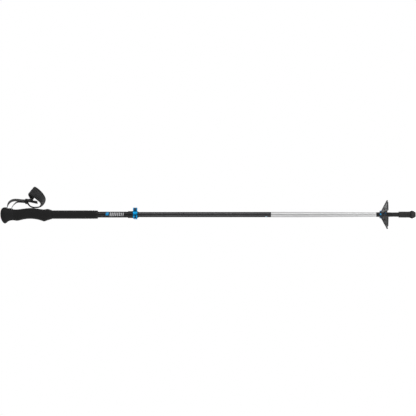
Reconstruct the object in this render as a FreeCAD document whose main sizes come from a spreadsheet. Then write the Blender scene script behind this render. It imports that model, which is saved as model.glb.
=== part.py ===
import FreeCAD, Part
import math
import os

import Sketcher
from FreeCAD import Placement, Rotation, Vector

# Adjustable ski pole: an upper tube with grip, wrist strap and lever lock, and a lower shaft
# with snow basket, flex tip and rubber foot. All lengths are millimetres and angles degrees.
#
# Frame: +Z runs up the pole from the foot to the grip. +X is the palm side, where the strap
# leaves the grip, and -X is the finger side. The origin is the middle of the foot's flat end.

DRIVING = {
    # rubber foot over the tip
    "foot_height": 52, "foot_radius": 9.1, "foot_sole_radius": 7.2, "foot_sole_chamfer": 1.9,
    "foot_bulb_radius": 12.3, "foot_bulb_low": 9.4, "foot_bulb_high": 13.8, "foot_neck_height": 18.4,
    "foot_socket_floor": 24, "foot_cavity_radius": 4.4, "foot_cavity_floor": 3.6,
    "foot_disc_radius": 6, "foot_disc_thickness": 1.5, "foot_lip_round": 1,
    # flex tip, with its steel holder and carbide point
    "tip_radius": 6.6, "tip_hub_radius": 6.9, "tip_bottom": 31, "tip_shoulder": 76, "tip_top": 110,
    "tip_spigot_radius": 5.4, "tip_spigot_length": 24, "tip_end_round": 1.6,
    "holder_radius": 3.2, "holder_bottom": 14, "holder_top": 62,
    "point_radius": 2.2, "point_bottom": 6, "point_top": 22, "point_crown_depth": 1.2,
    "point_crown_radius": 1.5, "tip_collar_radius": 7.15, "tip_collar_height": 10,
    # snow basket
    "basket_clearance": 0.08, "core_wall": 1.6, "core_bottom": 90, "core_height": 20,
    "core_flange_radius": 12.5, "core_flange_bottom": 2, "core_flange_thickness": 3,
    "stud_radius": 3.4, "stud_reach": 12.2, "stud_height": 106, "stud_fit": 0.2,
    "hub_wall": 1.9, "hub_bottom": 97, "hub_height": 13, "basket_rim_radius": 43.8,
    "basket_rim_height": 87.2, "basket_rim_drop": 2.8, "basket_shoulder_height": 105.6,
    "basket_skin": 2.2, "notch_inner": 15, "notch_inner_half": 3.2, "notch_outer_half": 10,
    "window_radius": 3.1, "window_at": 27, "basket_turn": 5, "arm_count": 5,
    # lower shaft
    "lower_radius": 8, "lower_wall": 1, "seam_height": 441, "lower_top": 925,
    "silver_foot_radius": 6.4, "silver_taper_low": 122, "silver_low_radius": 6.7,
    "silver_taper_mid": 185, "silver_mid_radius": 7.15, "silver_taper_high": 350,
    "ferrule_half": 35, "ferrule_wall": 1.2,
    "plug_depth": 20, "plug_flange": 2, "spindle_radius": 5, "spindle_length": 16,
    "plug_cap_radius": 7.6, "plug_cap_thickness": 3,
    "running_clearance": 0.05, "bush_end_gap": 0.3, "bush_slit": 2,
    # upper tube
    "upper_radius": 9, "upper_wall": 0.7, "upper_bottom": 862, "upper_top": 1222,
    "top_plug_depth": 8, "top_plug_head": 2.5,
    # clamp
    "collar_bottom": 845.5, "collar_lip_height": 2.9, "collar_lip_radius": 9.7,
    "sleeve_radius": 9.3, "sleeve_clearance": 0.08, "collar_radius": 10.8, "collar_height": 15,
    "collar_edge": 0.8, "collar_slit": 1.6, "relief_length": 7, "relief_width": 5,
    "relief_depth": 0.7, "relief_rise": 4, "relief_count": 4,
    "band_bottom": 848.7, "band_width": 13.1, "band_radius": 11.6, "ear_reach": 21.2,
    "ear_outer": 5, "ear_gap_half": 1.5, "ear_round": 2.5,
    "screw_x": 16.2, "screw_radius": 2, "screw_hole_radius": 2.2, "screw_head_radius": 3.5,
    "screw_head_length": 3, "screw_socket_radius": 1.6, "screw_socket_depth": 1.8,
    "washer_radius": 4, "washer_thickness": 0.7,
    "pivot_y": -10.1, "barrel_radius": 2.6, "barrel_end_gap": 0.4, "cam_radius": 3.9,
    "cam_offset": 0.2, "saddle_length": 8, "saddle_edge": 1,
    "lever_inner": 12, "lever_outer": 14.3, "lever_start": -60, "lever_sweep": 122,
    "lever_bridge_inner_x": 12.9, "lever_bridge_inner_y": -7.6, "fork_half": 2.9,
    "fork_start": 11.8, "thumb_slot_half": 2.3, "thumb_slot_from": -1, "thumb_slot_to": -12,
    "tip_chamfer_x": -11.6, "tip_chamfer_angle": 30,
    # grip
    "end_ring_bottom": 968.5, "end_ring_height": 6.5, "end_ring_radius": 12.7,
    "end_ring_chamfer": 1, "extension_bottom": 975, "extension_radius": 12.75,
    "groove_depth": 0.9, "groove_width": 1.6, "groove_low": 3.5, "groove_mid": 11,
    "groove_high": 22, "core_radius": 10.2, "grip_bottom": 1109, "head_bottom": 1227.5,
    # strap and its clamping
    "webbing_thickness": 2.2, "webbing_width": 19, "strap_height": 1239, "wedge_half": 5.6,
    "wedge_nose_x": 7.5, "wedge_reach": 19.4, "wedge_width": 19.6, "slot_width": 21,
    "slot_play": 0.3, "slot_reach": 30, "strap_pin_radius": 2, "strap_pin_half": 13.4,
    "strap_pivot_x": 20.5, "anchor_reach": 12.6, "strap_start": 13.3,
    "band_thickness": 2.6, "lining_thickness": 1.4, "lining_gap": 0.5, "keeper_wall": 1.4,
    "tail_tab_thickness": 3.2,
}

# Grip and head: where each cross-section stands, how far it reaches to the fingers, to the
# palm and to each side.
FOAM_STATIONS = {
    "hem": (1109, 13.7, 13.6, 13.1), "flare": (1117, 15.7, 16.0, 14.2),
    "heel": (1124, 18.0, 17.2, 14.6), "finger_stop": (1133, 20.9, 15.7, 14.4),
    "stop_top": (1141, 18.5, 16.3, 14.0), "hollow": (1151, 15.5, 17.8, 13.8),
    "palm_low": (1162, 13.6, 19.3, 14.1), "palm": (1175, 12.7, 19.9, 14.6),
    "palm_high": (1190, 13.7, 18.8, 14.3), "index_low": (1204, 16.7, 16.9, 13.8),
    "index_rest": (1217, 18.9, 15.7, 13.5), "neck": (1227.5, 17.4, 16.1, 13.7),
}
HEAD_STATIONS = {
    "throat": (1227.5, 17.4, 16.1, 13.7), "slot_low": (1234, 17.9, 18.2, 14.1),
    "slot_high": (1242, 20.6, 20.0, 14.9), "beak_low": (1247.5, 25.0, 21.4, 15.5),
    "beak": (1252, 27.4, 22.4, 15.8), "crown_low": (1256.5, 25.4, 21.8, 15.4),
    "crown": (1260, 21.4, 20.2, 14.2), "crown_high": (1263, 16.0, 17.2, 12.0),
    "dome": (1265.6, 9.0, 11.5, 7.8), "top": (1266.7, 4.5, 6.4, 4.0),
}

# Soft strap: hand-laid cross-sections (near edge, far edge), each edge as X, Y, Z.
UPPER_STRAND = [
    ((17, -8.6, 1245.7), (19, 8.6, 1245.7)), ((24, -8.9, 1244.4), (27, 8.9, 1245.8)),
    ((31, -9.1, 1240.5), (35.2, 9.1, 1243.8)), ((36.8, -9.2, 1234.6), (42.6, 9.2, 1238)),
    ((40.4, -9.2, 1226), (47.2, 9.2, 1227.6)), ((41, -9.2, 1214), (47.6, 9.2, 1214)),
    ((40.3, -9.2, 1201), (46, 9.2, 1201)), ((40.6, -9.2, 1187), (45.8, 9.2, 1187)),
]
LOWER_STRAND = [
    ((16.4, -8.8, 1232.3), (17.4, 8.8, 1232.3)), ((21.6, -9, 1230.8), (23.2, 9, 1230.8)),
    ((26.8, -9.2, 1227.4), (28.8, 9.2, 1227.6)), ((32.4, -9.2, 1221.6), (35.2, 9.2, 1222)),
    ((36.6, -9.2, 1213.6), (40.8, 9.2, 1213.8)), ((36.6, -9.2, 1201), (40.8, 9.2, 1201)),
    ((35.4, -9.2, 1187), (39.8, 9.2, 1187)),
]
WRIST_BAND = [
    ((41.2, -9.2, 1184), (46.2, 9.2, 1184)), ((41.6, -6, 1170), (50.4, 15.5, 1166)),
    ((52.5, -3, 1177), (67.4, 17.5, 1161.6)), ((60, -6, 1180.2), (79.6, 14, 1165.6)),
    ((64.6, -11, 1177.6), (84, 9.5, 1161.6)), ((60, -14.6, 1170.5), (80.4, 8, 1154.5)),
    ((52.5, -15.8, 1163), (72.5, 8, 1145)), ((44.6, -15, 1153.4), (60.5, 9.5, 1135)),
    ((35.6, -13.2, 1143.6), (46.6, 11, 1129.6)), ((27.4, -11, 1143.4), (32.6, 10.6, 1134.8)),
    ((22.4, -9.4, 1149.6), (24, 10, 1146)), ((21.5, -9.2, 1160), (22.2, 9.4, 1160)),
    ((22, -9.2, 1168.5), (23, 9.2, 1169)), ((26.6, -9.2, 1177), (27.8, 9.2, 1178)),
    ((34.8, -9.2, 1184), (39, 9.2, 1184)),
]
LINING_SPAN = (4, 8)
LINING_INSET = 0.06
STRAP_TAIL = [
    ((38.8, -7.6, 1184), (41.4, 7.6, 1184)), ((37.4, -7.8, 1174), (42.6, 7.8, 1174)),
    ((35.2, -7.8, 1163), (42.2, 7.8, 1163)),
]
TAIL_TAB = [
    ((35.2, -7.8, 1162.6), (42.2, 7.8, 1162.6)), ((33.4, -7.8, 1152.6), (40.4, 7.8, 1154.4)),
]

HORIZONTAL_AXIS = -1
VERTICAL_AXIS = -2
ORIGIN_POINT = (-1, 1)
TO_PLUS_Y = Rotation(Vector(1, 0, 0), -90)

doc = FreeCAD.newDocument("ski_pole")
sheet = doc.addObject("Spreadsheet::Sheet", "dims")


class Size:
    """A length or an angle: its value, and the expression that binds it to the sheet."""

    def __init__(self, value, text):
        self.value = float(value)
        self.text = text

    def __add__(self, other):
        other = as_size(other)
        return Size(self.value + other.value, f"({self.text} + {other.text})")

    def __sub__(self, other):
        other = as_size(other)
        return Size(self.value - other.value, f"({self.text} - {other.text})")

    def __mul__(self, factor):
        return Size(self.value * factor, f"({self.text} * {factor})")

    def __neg__(self):
        return Size(-self.value, f"(0 - {self.text})")


def as_size(amount):
    return amount if isinstance(amount, Size) else Size(amount, str(float(amount)))


class Sizes:
    """The sheet's cells as attributes, each a Size."""


def fill_sheet():
    """Writes every driving dimension to the sheet and returns them as Sizes."""
    cells = dict(DRIVING)
    for group, stations in (("foam", FOAM_STATIONS), ("head", HEAD_STATIONS)):
        for name, (height, front, back, side) in stations.items():
            stem = f"{group}_{name}"
            cells[f"{stem}_height"] = height
            cells[f"{stem}_front"] = front
            cells[f"{stem}_back"] = back
            cells[f"{stem}_side"] = side
    found = Sizes()
    for row, (alias, value) in enumerate(cells.items(), start=1):
        sheet.set(f"A{row}", alias)
        sheet.set(f"B{row}", str(value))
        sheet.setAlias(f"B{row}", alias)
        setattr(found, alias, Size(value, f"dims.{alias}"))
    doc.recompute()
    return found


S = fill_sheet()
sub_parts = []


# ---------------------------------------------------------------- helpers


def bind(thing, place, size):
    """Sets a property and binds it to the sheet."""
    thing.setExpression(place, as_size(size).text)


def finished(thing, label):
    """Names a sub-part and puts it on the list that is written out."""
    thing.Label = label
    sub_parts.append(thing)
    return thing


def new_body(name, base=None):
    """A PartDesign body whose own origin stands at height base."""
    body = doc.addObject("PartDesign::Body", name)
    if base is not None:
        bind(body, "Placement.Base.z", base)
    return body


def new_sketch(body, name, role):
    sketch = body.newObject("Sketcher::SketchObject", name)
    support = next(f for f in body.Origin.OriginFeatures if f.Role == role)
    sketch.AttachmentSupport = [(support, "")]
    sketch.MapMode = "FlatFace"
    return sketch


def hold(sketch, kind, corner, size, axis):
    """Fixes one coordinate of a corner: on the axis if it is zero, else by a bound distance."""
    size = as_size(size)
    if size.value == 0:
        sketch.addConstraint(Sketcher.Constraint("PointOnObject", corner, 1, axis))
        return
    rule = Sketcher.Constraint(kind, *ORIGIN_POINT, corner, 1, size.value)
    at = sketch.addConstraint(rule)
    sketch.setExpression(f"Constraints[{at}]", size.text)


def outline(sketch, corners):
    """A closed outline of straight lines, every corner bound to the sheet."""
    first = sketch.GeometryCount
    count = len(corners)
    at = [Vector(as_size(across).value, as_size(up).value, 0) for across, up in corners]
    for i in range(count):
        sketch.addGeometry(Part.LineSegment(at[i], at[(i + 1) % count]))
    for i in range(count):
        following = first + (i + 1) % count
        sketch.addConstraint(Sketcher.Constraint("Coincident", first + i, 2, following, 1))
    for i, (across, up) in enumerate(corners):
        hold(sketch, "DistanceX", first + i, across, VERTICAL_AXIS)
        hold(sketch, "DistanceY", first + i, up, HORIZONTAL_AXIS)


def round_outline(sketch, radius, rise=0):
    """A circle about a point on the sketch's vertical axis."""
    centre = Vector(0, as_size(rise).value, 0)
    at = sketch.addGeometry(Part.Circle(centre, Vector(0, 0, 1), radius.value))
    if as_size(rise).value == 0:
        sketch.addConstraint(Sketcher.Constraint("Coincident", at, 3, *ORIGIN_POINT))
    else:
        sketch.addConstraint(Sketcher.Constraint("PointOnObject", at, 3, VERTICAL_AXIS))
        rule = Sketcher.Constraint("DistanceY", *ORIGIN_POINT, at, 3, as_size(rise).value)
        height = sketch.addConstraint(rule)
        sketch.setExpression(f"Constraints[{height}]", as_size(rise).text)
    size = sketch.addConstraint(Sketcher.Constraint("Radius", at, radius.value))
    sketch.setExpression(f"Constraints[{size}]", radius.text)


def turned(body, name, corners):
    """Revolves an outline of (radius, height) corners about Z."""
    sketch = new_sketch(body, f"{name}_outline", "XZ_Plane")
    outline(sketch, corners)
    made = body.newObject("PartDesign::Revolution", f"{name}_turned")
    made.Profile = sketch
    made.ReferenceAxis = (sketch, ["V_Axis"])
    made.Angle = 360
    return made


def ring(label, outer, inner, base, length):
    """A plain tube from height base."""
    body = new_body(label, base)
    sketch = new_sketch(body, f"{label}_outline", "XY_Plane")
    round_outline(sketch, outer)
    round_outline(sketch, inner)
    pad = body.newObject("PartDesign::Pad", f"{label}_pad")
    pad.Profile = sketch
    bind(pad, "Length", length)
    return finished(body, label)


def cut_through(body, sketch, name, reverse=False, both=False):
    """Pockets a sketch through everything on one side of its plane, or on both."""
    pocket = body.newObject("PartDesign::Pocket", name)
    pocket.Profile = sketch
    pocket.Type = "ThroughAll"
    pocket.Reversed = reverse
    pocket.Midplane = both
    return pocket


def around(body, feature, name, count):
    """Repeats a feature about Z."""
    pattern = body.newObject("PartDesign::PolarPattern", name)
    pattern.Originals = [feature]
    pattern.Axis = (next(f for f in body.Origin.OriginFeatures if f.Role == "Z_Axis"), [""])
    pattern.Angle = 360
    bind(pattern, "Occurrences", count)
    body.Tip = pattern
    return pattern


def box(name, low, high):
    """A Part::Box between two corners."""
    made = doc.addObject("Part::Box", name)
    for axis, side, start, end in zip("xyz", ("Length", "Width", "Height"), low, high):
        start = as_size(start)
        bind(made, side, as_size(end) - start)
        bind(made, f"Placement.Base.{axis}", start)
    return made


def cylinder(name, radius, length, at, rotation=None):
    """A Part::Cylinder whose first end is centred at a point. It points along +Z unless turned."""
    made = doc.addObject("Part::Cylinder", name)
    bind(made, "Radius", radius)
    bind(made, "Height", length)
    if rotation is not None:
        made.Placement = Placement(Vector(), rotation)
    for axis, place in zip("xyz", at):
        bind(made, f"Placement.Base.{axis}", place)
    return made


def joined(name, *pieces):
    made = doc.addObject("Part::MultiFuse", name)
    made.Shapes = list(pieces)
    return made


def less(name, base, *tools):
    """A base with one or more tools cut from it."""
    made = doc.addObject("Part::Cut", name)
    made.Base = base
    made.Tool = tools[0] if len(tools) == 1 else joined(f"{name}_tools", *tools)
    return made


def rounded_where(body, name, radius, wanted):
    """Fillets the edges of a body's last feature that pass a test."""
    doc.recompute()
    tip = body.Tip
    edges = [f"Edge{i}" for i, edge in enumerate(tip.Shape.Edges, start=1) if wanted(edge)]
    fillet = body.newObject("PartDesign::Fillet", name)
    fillet.Base = (tip, edges)
    bind(fillet, "Radius", radius)
    return fillet


def circle_at(radius, height):
    """A test for the circular edge of a given radius at a given height."""

    def wanted(edge):
        curve = edge.Curve
        is_round = isinstance(curve, Part.Circle)
        return is_round and abs(curve.Radius - radius) < 0.01 and abs(curve.Center.z - height) < 0.01

    return wanted


def skinned(name, group, stations, ruled):
    """A loft through the oval cross-sections of the grip or the head."""
    ovals = []
    for station in stations:
        stem = f"{group}_{station}"
        front = getattr(S, f"{stem}_front")
        back = getattr(S, f"{stem}_back")
        oval = doc.addObject("Part::Ellipse", f"{stem}_oval")
        bind(oval, "MajorRadius", (front + back) * 0.5)
        bind(oval, "MinorRadius", getattr(S, f"{stem}_side"))
        bind(oval, "Placement.Base.x", (back - front) * 0.5)
        bind(oval, "Placement.Base.z", getattr(S, f"{stem}_height"))
        ovals.append(oval)
    made = doc.addObject("Part::Loft", name)
    made.Sections = ovals
    made.Solid = True
    made.Ruled = ruled
    return made


def rise_at(stations, i, height):
    """The step of a given height off a ribbon's surface at one of its cross-sections."""
    before, after = stations[max(i - 1, 0)], stations[min(i + 1, len(stations) - 1)]
    along = Vector(*after[0]) + Vector(*after[1]) - Vector(*before[0]) - Vector(*before[1])
    rise = along.cross(Vector(*stations[i][1]) - Vector(*stations[i][0]))
    rise.normalize()
    return rise * height


def slab(sections, rises):
    """A solid through cross-sections, each reaching its own rise to both sides of its line."""
    rings = []
    for (near, far), rise in zip(sections, rises):
        rings.append(Part.makePolygon([near - rise, far - rise, far + rise, near + rise, near - rise]))
    return Part.makeLoft(rings, True, True)


def ribbon(stations, thickness):
    """A solid band through hand-laid cross-sections, given as pairs of edge points."""
    sections = [(Vector(*near), Vector(*far)) for near, far in stations]
    return slab(sections, [rise_at(stations, i, thickness / 2) for i in range(len(stations))])


def soft(label, shape, at=Vector()):
    """A Part::Feature for a soft piece, placed after its shape is set."""
    made = doc.addObject("Part::Feature", label)
    made.Shape = shape
    made.Placement = Placement(at, Rotation())
    return finished(made, label)


def about_pivot(radius, width=200):
    """A drum about the strap's pivot, which runs along Y."""
    centre = Vector(S.strap_pivot_x.value, -width / 2, S.strap_height.value)
    return Part.makeCylinder(radius.value, width, centre, Vector(0, 1, 0))


# ---------------------------------------------------------------- rubber foot and tip


def build_foot():
    """Rubber foot: a sole, a bulb and a socket that grips the flex tip. A steel disc lies inside."""
    foot = new_body("tip_cap")
    socket_radius = S.tip_radius + S.basket_clearance
    disc_top = S.foot_cavity_floor + S.foot_disc_thickness
    turned(foot, "foot", [
        (0, 0), (S.foot_sole_radius, 0), (S.foot_sole_radius + 1.3, S.foot_sole_chamfer),
        (S.foot_bulb_radius, S.foot_bulb_low), (S.foot_bulb_radius, S.foot_bulb_high),
        (S.foot_radius, S.foot_neck_height), (S.foot_radius, S.foot_height),
        (socket_radius, S.foot_height), (socket_radius, S.foot_socket_floor),
        (S.foot_cavity_radius, S.foot_socket_floor), (S.foot_cavity_radius, disc_top),
        (S.foot_disc_radius, disc_top), (S.foot_disc_radius, S.foot_cavity_floor),
        (0, S.foot_cavity_floor),
    ])
    rim = circle_at(S.foot_radius.value, S.foot_height.value)
    bulb_low = circle_at(S.foot_bulb_radius.value, S.foot_bulb_low.value)
    bulb_high = circle_at(S.foot_bulb_radius.value, S.foot_bulb_high.value)
    rounded_where(foot, "foot_rounds", S.foot_lip_round, lambda e: rim(e) or bulb_low(e) or bulb_high(e))
    finished(foot, "tip_cap")

    disc = new_body("cap_disc", S.foot_cavity_floor)
    sketch = new_sketch(disc, "disc_outline", "XY_Plane")
    round_outline(sketch, S.foot_disc_radius)
    pad = disc.newObject("PartDesign::Pad", "disc_pad")
    pad.Profile = sketch
    bind(pad, "Length", S.foot_disc_thickness)
    finished(disc, "cap_disc")


def build_tip():
    """Flex tip with its steel holder, carbide point and the collar above it."""
    flex = new_body("flex_tip")
    turned(flex, "flex", [
        (S.holder_radius, S.tip_bottom), (S.tip_radius, S.tip_bottom),
        (S.tip_radius, S.tip_shoulder), (S.tip_hub_radius, S.tip_shoulder + 3),
        (S.tip_hub_radius, S.tip_top), (S.tip_spigot_radius, S.tip_top),
        (S.tip_spigot_radius, S.tip_top + S.tip_spigot_length), (0, S.tip_top + S.tip_spigot_length),
        (0, S.holder_top), (S.holder_radius, S.holder_top),
    ])
    rounded_where(flex, "flex_round", S.tip_end_round, circle_at(S.tip_radius.value, S.tip_bottom.value))
    finished(flex, "flex_tip")

    holder = new_body("tip_holder")
    turned(holder, "holder", [
        (S.point_radius, S.holder_bottom), (S.holder_radius, S.holder_bottom + 1),
        (S.holder_radius, S.holder_top), (0, S.holder_top), (0, S.point_top),
        (S.point_radius, S.point_top),
    ])
    finished(holder, "tip_holder")

    point = new_body("carbide_tip")
    turned(point, "point", [
        (0, S.point_bottom + S.point_crown_depth), (S.point_crown_radius, S.point_bottom),
        (S.point_radius, S.point_bottom + 0.6), (S.point_radius, S.point_top), (0, S.point_top),
    ])
    finished(point, "carbide_tip")
    ring("tip_collar", S.tip_collar_radius, S.silver_foot_radius, S.tip_top, S.tip_collar_height)


def build_basket():
    """Snow basket: a five-armed umbrella over a coloured core whose studs fill the hub's windows."""
    bore = S.tip_hub_radius + S.basket_clearance
    core_outer = bore + S.core_wall
    hub_outer = core_outer + S.hub_wall
    flange_low = S.core_bottom + S.core_flange_bottom
    flange_top = flange_low + S.core_flange_thickness
    core_top = S.core_bottom + S.core_height

    core = new_body("basket_core")
    turned(core, "core", [
        (bore, S.core_bottom), (core_outer, S.core_bottom), (core_outer, flange_low),
        (S.core_flange_radius, flange_low), (S.core_flange_radius, flange_top),
        (core_outer, flange_top), (core_outer, core_top), (bore, core_top),
    ])
    sketch = new_sketch(core, "stud_outline", "XZ_Plane")
    bind(sketch, "AttachmentOffset.Base.z", core_outer - 0.5)
    round_outline(sketch, S.stud_radius, S.stud_height)
    stud = core.newObject("PartDesign::Pad", "stud")
    stud.Profile = sketch
    bind(stud, "Length", S.stud_reach - core_outer + 0.5)
    around(core, stud, "studs", S.arm_count)
    bind(core, "Placement.Rotation.Angle", S.basket_turn)
    finished(core, "basket_core")

    cage = new_body("basket_cage")
    hub_top = S.hub_bottom + S.hub_height
    turned(cage, "cage", [
        (core_outer, S.hub_bottom), (hub_outer, S.hub_bottom),
        (hub_outer, S.basket_shoulder_height - S.basket_skin),
        (S.basket_rim_radius - 1, S.basket_rim_height),
        (S.basket_rim_radius - 1, S.basket_rim_height - S.basket_rim_drop),
        (S.basket_rim_radius, S.basket_rim_height - S.basket_rim_drop),
        (S.basket_rim_radius, S.basket_rim_height + S.basket_skin * 0.5),
        (hub_outer + 0.4, S.basket_shoulder_height), (hub_outer + 0.4, hub_top), (core_outer, hub_top),
    ])
    notch_sketch = new_sketch(cage, "notch_outline", "XY_Plane")
    beyond = S.basket_rim_radius + 4
    outline(notch_sketch, [
        (-S.notch_inner_half, -S.notch_inner), (S.notch_inner_half, -S.notch_inner),
        (S.notch_outer_half, -beyond), (-S.notch_outer_half, -beyond),
    ])
    notch = cut_through(cage, notch_sketch, "notch", reverse=True)
    around(cage, notch, "notches", S.arm_count)

    hole_sketch = new_sketch(cage, "stud_window_outline", "XZ_Plane")
    round_outline(hole_sketch, S.stud_radius + S.stud_fit, S.stud_height)
    hole = cut_through(cage, hole_sketch, "stud_window", reverse=True)
    around(cage, hole, "stud_windows", S.arm_count)

    window_sketch = new_sketch(cage, "arm_window_outline", "XY_Plane")
    round_outline(window_sketch, S.window_radius, S.window_at)
    window = cut_through(cage, window_sketch, "arm_window", reverse=True)
    around(cage, window, "arm_windows", S.arm_count)
    bind(cage, "Placement.Rotation.Angle", S.basket_turn)
    finished(cage, "basket_cage")


# ---------------------------------------------------------------- shafts


def build_lower_shaft():
    """Dark and silver tubes with their ferrule, and the plug and bush at the top."""
    wall = S.lower_wall
    bottom = S.tip_top
    silver = new_body("lower_tube_silver")
    turned(silver, "silver", [
        (S.silver_foot_radius - wall, bottom), (S.silver_foot_radius, bottom),
        (S.silver_foot_radius, bottom + S.tip_collar_height), (S.silver_low_radius, S.silver_taper_low),
        (S.silver_mid_radius, S.silver_taper_mid), (S.lower_radius, S.silver_taper_high),
        (S.lower_radius, S.seam_height), (S.lower_radius - wall, S.seam_height),
        (S.lower_radius - wall, S.silver_taper_high), (S.silver_mid_radius - wall, S.silver_taper_mid),
        (S.tip_spigot_radius, S.tip_top + S.tip_spigot_length),
    ])
    finished(silver, "lower_tube_silver")
    inner = S.lower_radius - wall
    ring("lower_tube_dark", S.lower_radius, inner, S.seam_height, S.lower_top - S.seam_height)
    ring("joint_ferrule", inner, inner - S.ferrule_wall, S.seam_height - S.ferrule_half, S.ferrule_half * 2)

    plug = new_body("shaft_plug")
    flange_top = S.lower_top + S.plug_flange
    spindle_top = flange_top + S.spindle_length
    turned(plug, "plug", [
        (0, S.lower_top - S.plug_depth), (inner, S.lower_top - S.plug_depth), (inner, S.lower_top),
        (S.lower_radius, S.lower_top), (S.lower_radius, flange_top), (S.spindle_radius, flange_top),
        (S.spindle_radius, spindle_top), (S.plug_cap_radius, spindle_top),
        (S.plug_cap_radius, spindle_top + S.plug_cap_thickness), (0, spindle_top + S.plug_cap_thickness),
    ])
    finished(plug, "shaft_plug")

    bush_radius = S.upper_radius - S.upper_wall - S.running_clearance
    bush_length = S.spindle_length - S.bush_end_gap * 2
    bush_base = flange_top + S.bush_end_gap
    sleeve = cylinder("bush_sleeve", bush_radius, bush_length, (0, 0, bush_base))
    bore_radius = S.spindle_radius + S.running_clearance
    bore = cylinder("bush_bore", bore_radius, bush_length, (0, 0, bush_base))
    slit_half = S.bush_slit * 0.5
    slit = box("bush_slit_cut", (0, -slit_half, bush_base), (bush_radius + 1, slit_half, bush_base + bush_length))
    finished(less("guide_bush", sleeve, bore, slit), "guide_bush")


def build_upper_tube():
    """Upper tube and the plug in its top end."""
    inner = S.upper_radius - S.upper_wall
    ring("upper_tube", S.upper_radius, inner, S.upper_bottom, S.upper_top - S.upper_bottom)
    plug = new_body("tube_top_plug")
    turned(plug, "top_plug", [
        (0, S.upper_top - S.top_plug_depth), (inner, S.upper_top - S.top_plug_depth),
        (inner, S.upper_top), (S.upper_radius, S.upper_top),
        (S.upper_radius, S.upper_top + S.top_plug_head), (0, S.upper_top + S.top_plug_head),
    ])
    finished(plug, "tube_top_plug")


# ---------------------------------------------------------------- lever lock


def build_collar():
    """Black collar over the upper tube's end, with the split sleeve that the band squeezes."""
    collar = new_body("collar_blank", S.collar_bottom)
    sleeve_bore = S.lower_radius + S.sleeve_clearance
    step = S.upper_bottom - S.collar_bottom
    top = step + S.collar_height
    turned(collar, "collar", [
        (sleeve_bore, 0), (S.collar_lip_radius, 0), (S.collar_lip_radius, S.collar_lip_height),
        (S.sleeve_radius, S.collar_lip_height), (S.sleeve_radius, step), (S.collar_radius, step),
        (S.collar_radius, top - S.collar_edge), (S.collar_radius - S.collar_edge, top),
        (S.upper_radius, top), (S.upper_radius, step), (sleeve_bore, step),
    ])
    relief_sketch = new_sketch(collar, "relief_outline", "XZ_Plane")
    bind(relief_sketch, "AttachmentOffset.Base.z", S.collar_radius - S.relief_depth)
    half = S.relief_width * 0.5
    low = step + S.relief_rise
    high = low + S.relief_length
    outline(relief_sketch, [(-half, low), (half, low), (half, high), (-half, high)])
    relief = cut_through(collar, relief_sketch, "relief", reverse=True)
    around(collar, relief, "reliefs", S.relief_count)
    slit_half = S.collar_slit * 0.5
    slit = box(
        "collar_slit_cut",
        (0, -slit_half, S.collar_bottom - 1),
        (S.collar_radius + 1, slit_half, S.upper_bottom - 0.5),
    )
    finished(less("clamp_collar", collar, slit), "clamp_collar")


def build_band():
    """Clamp band: a C-ring with two ears toward the palm side, drilled for the tension screw."""
    middle = S.band_bottom + S.band_width * 0.5
    top = S.band_bottom + S.band_width
    hoop = cylinder("band_hoop", S.band_radius, S.band_width, (0, 0, S.band_bottom))
    ears = box("band_ears", (0, -S.ear_outer, S.band_bottom), (S.ear_reach, S.ear_outer, top))
    shell = joined("band_blank", hoop, ears)
    bore = cylinder("band_bore", S.sleeve_radius, S.band_width, (0, 0, S.band_bottom))
    gap = box("band_gap", (0, -S.ear_gap_half, S.band_bottom), (S.ear_reach + 1, S.ear_gap_half, top))
    hole_at = (S.screw_x, -S.ear_outer - 1, middle)
    hole = cylinder("band_hole", S.screw_hole_radius, S.ear_outer * 2 + 2, hole_at, TO_PLUS_Y)
    finished(less("clamp_band", shell, bore, gap, hole), "clamp_band")


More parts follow.
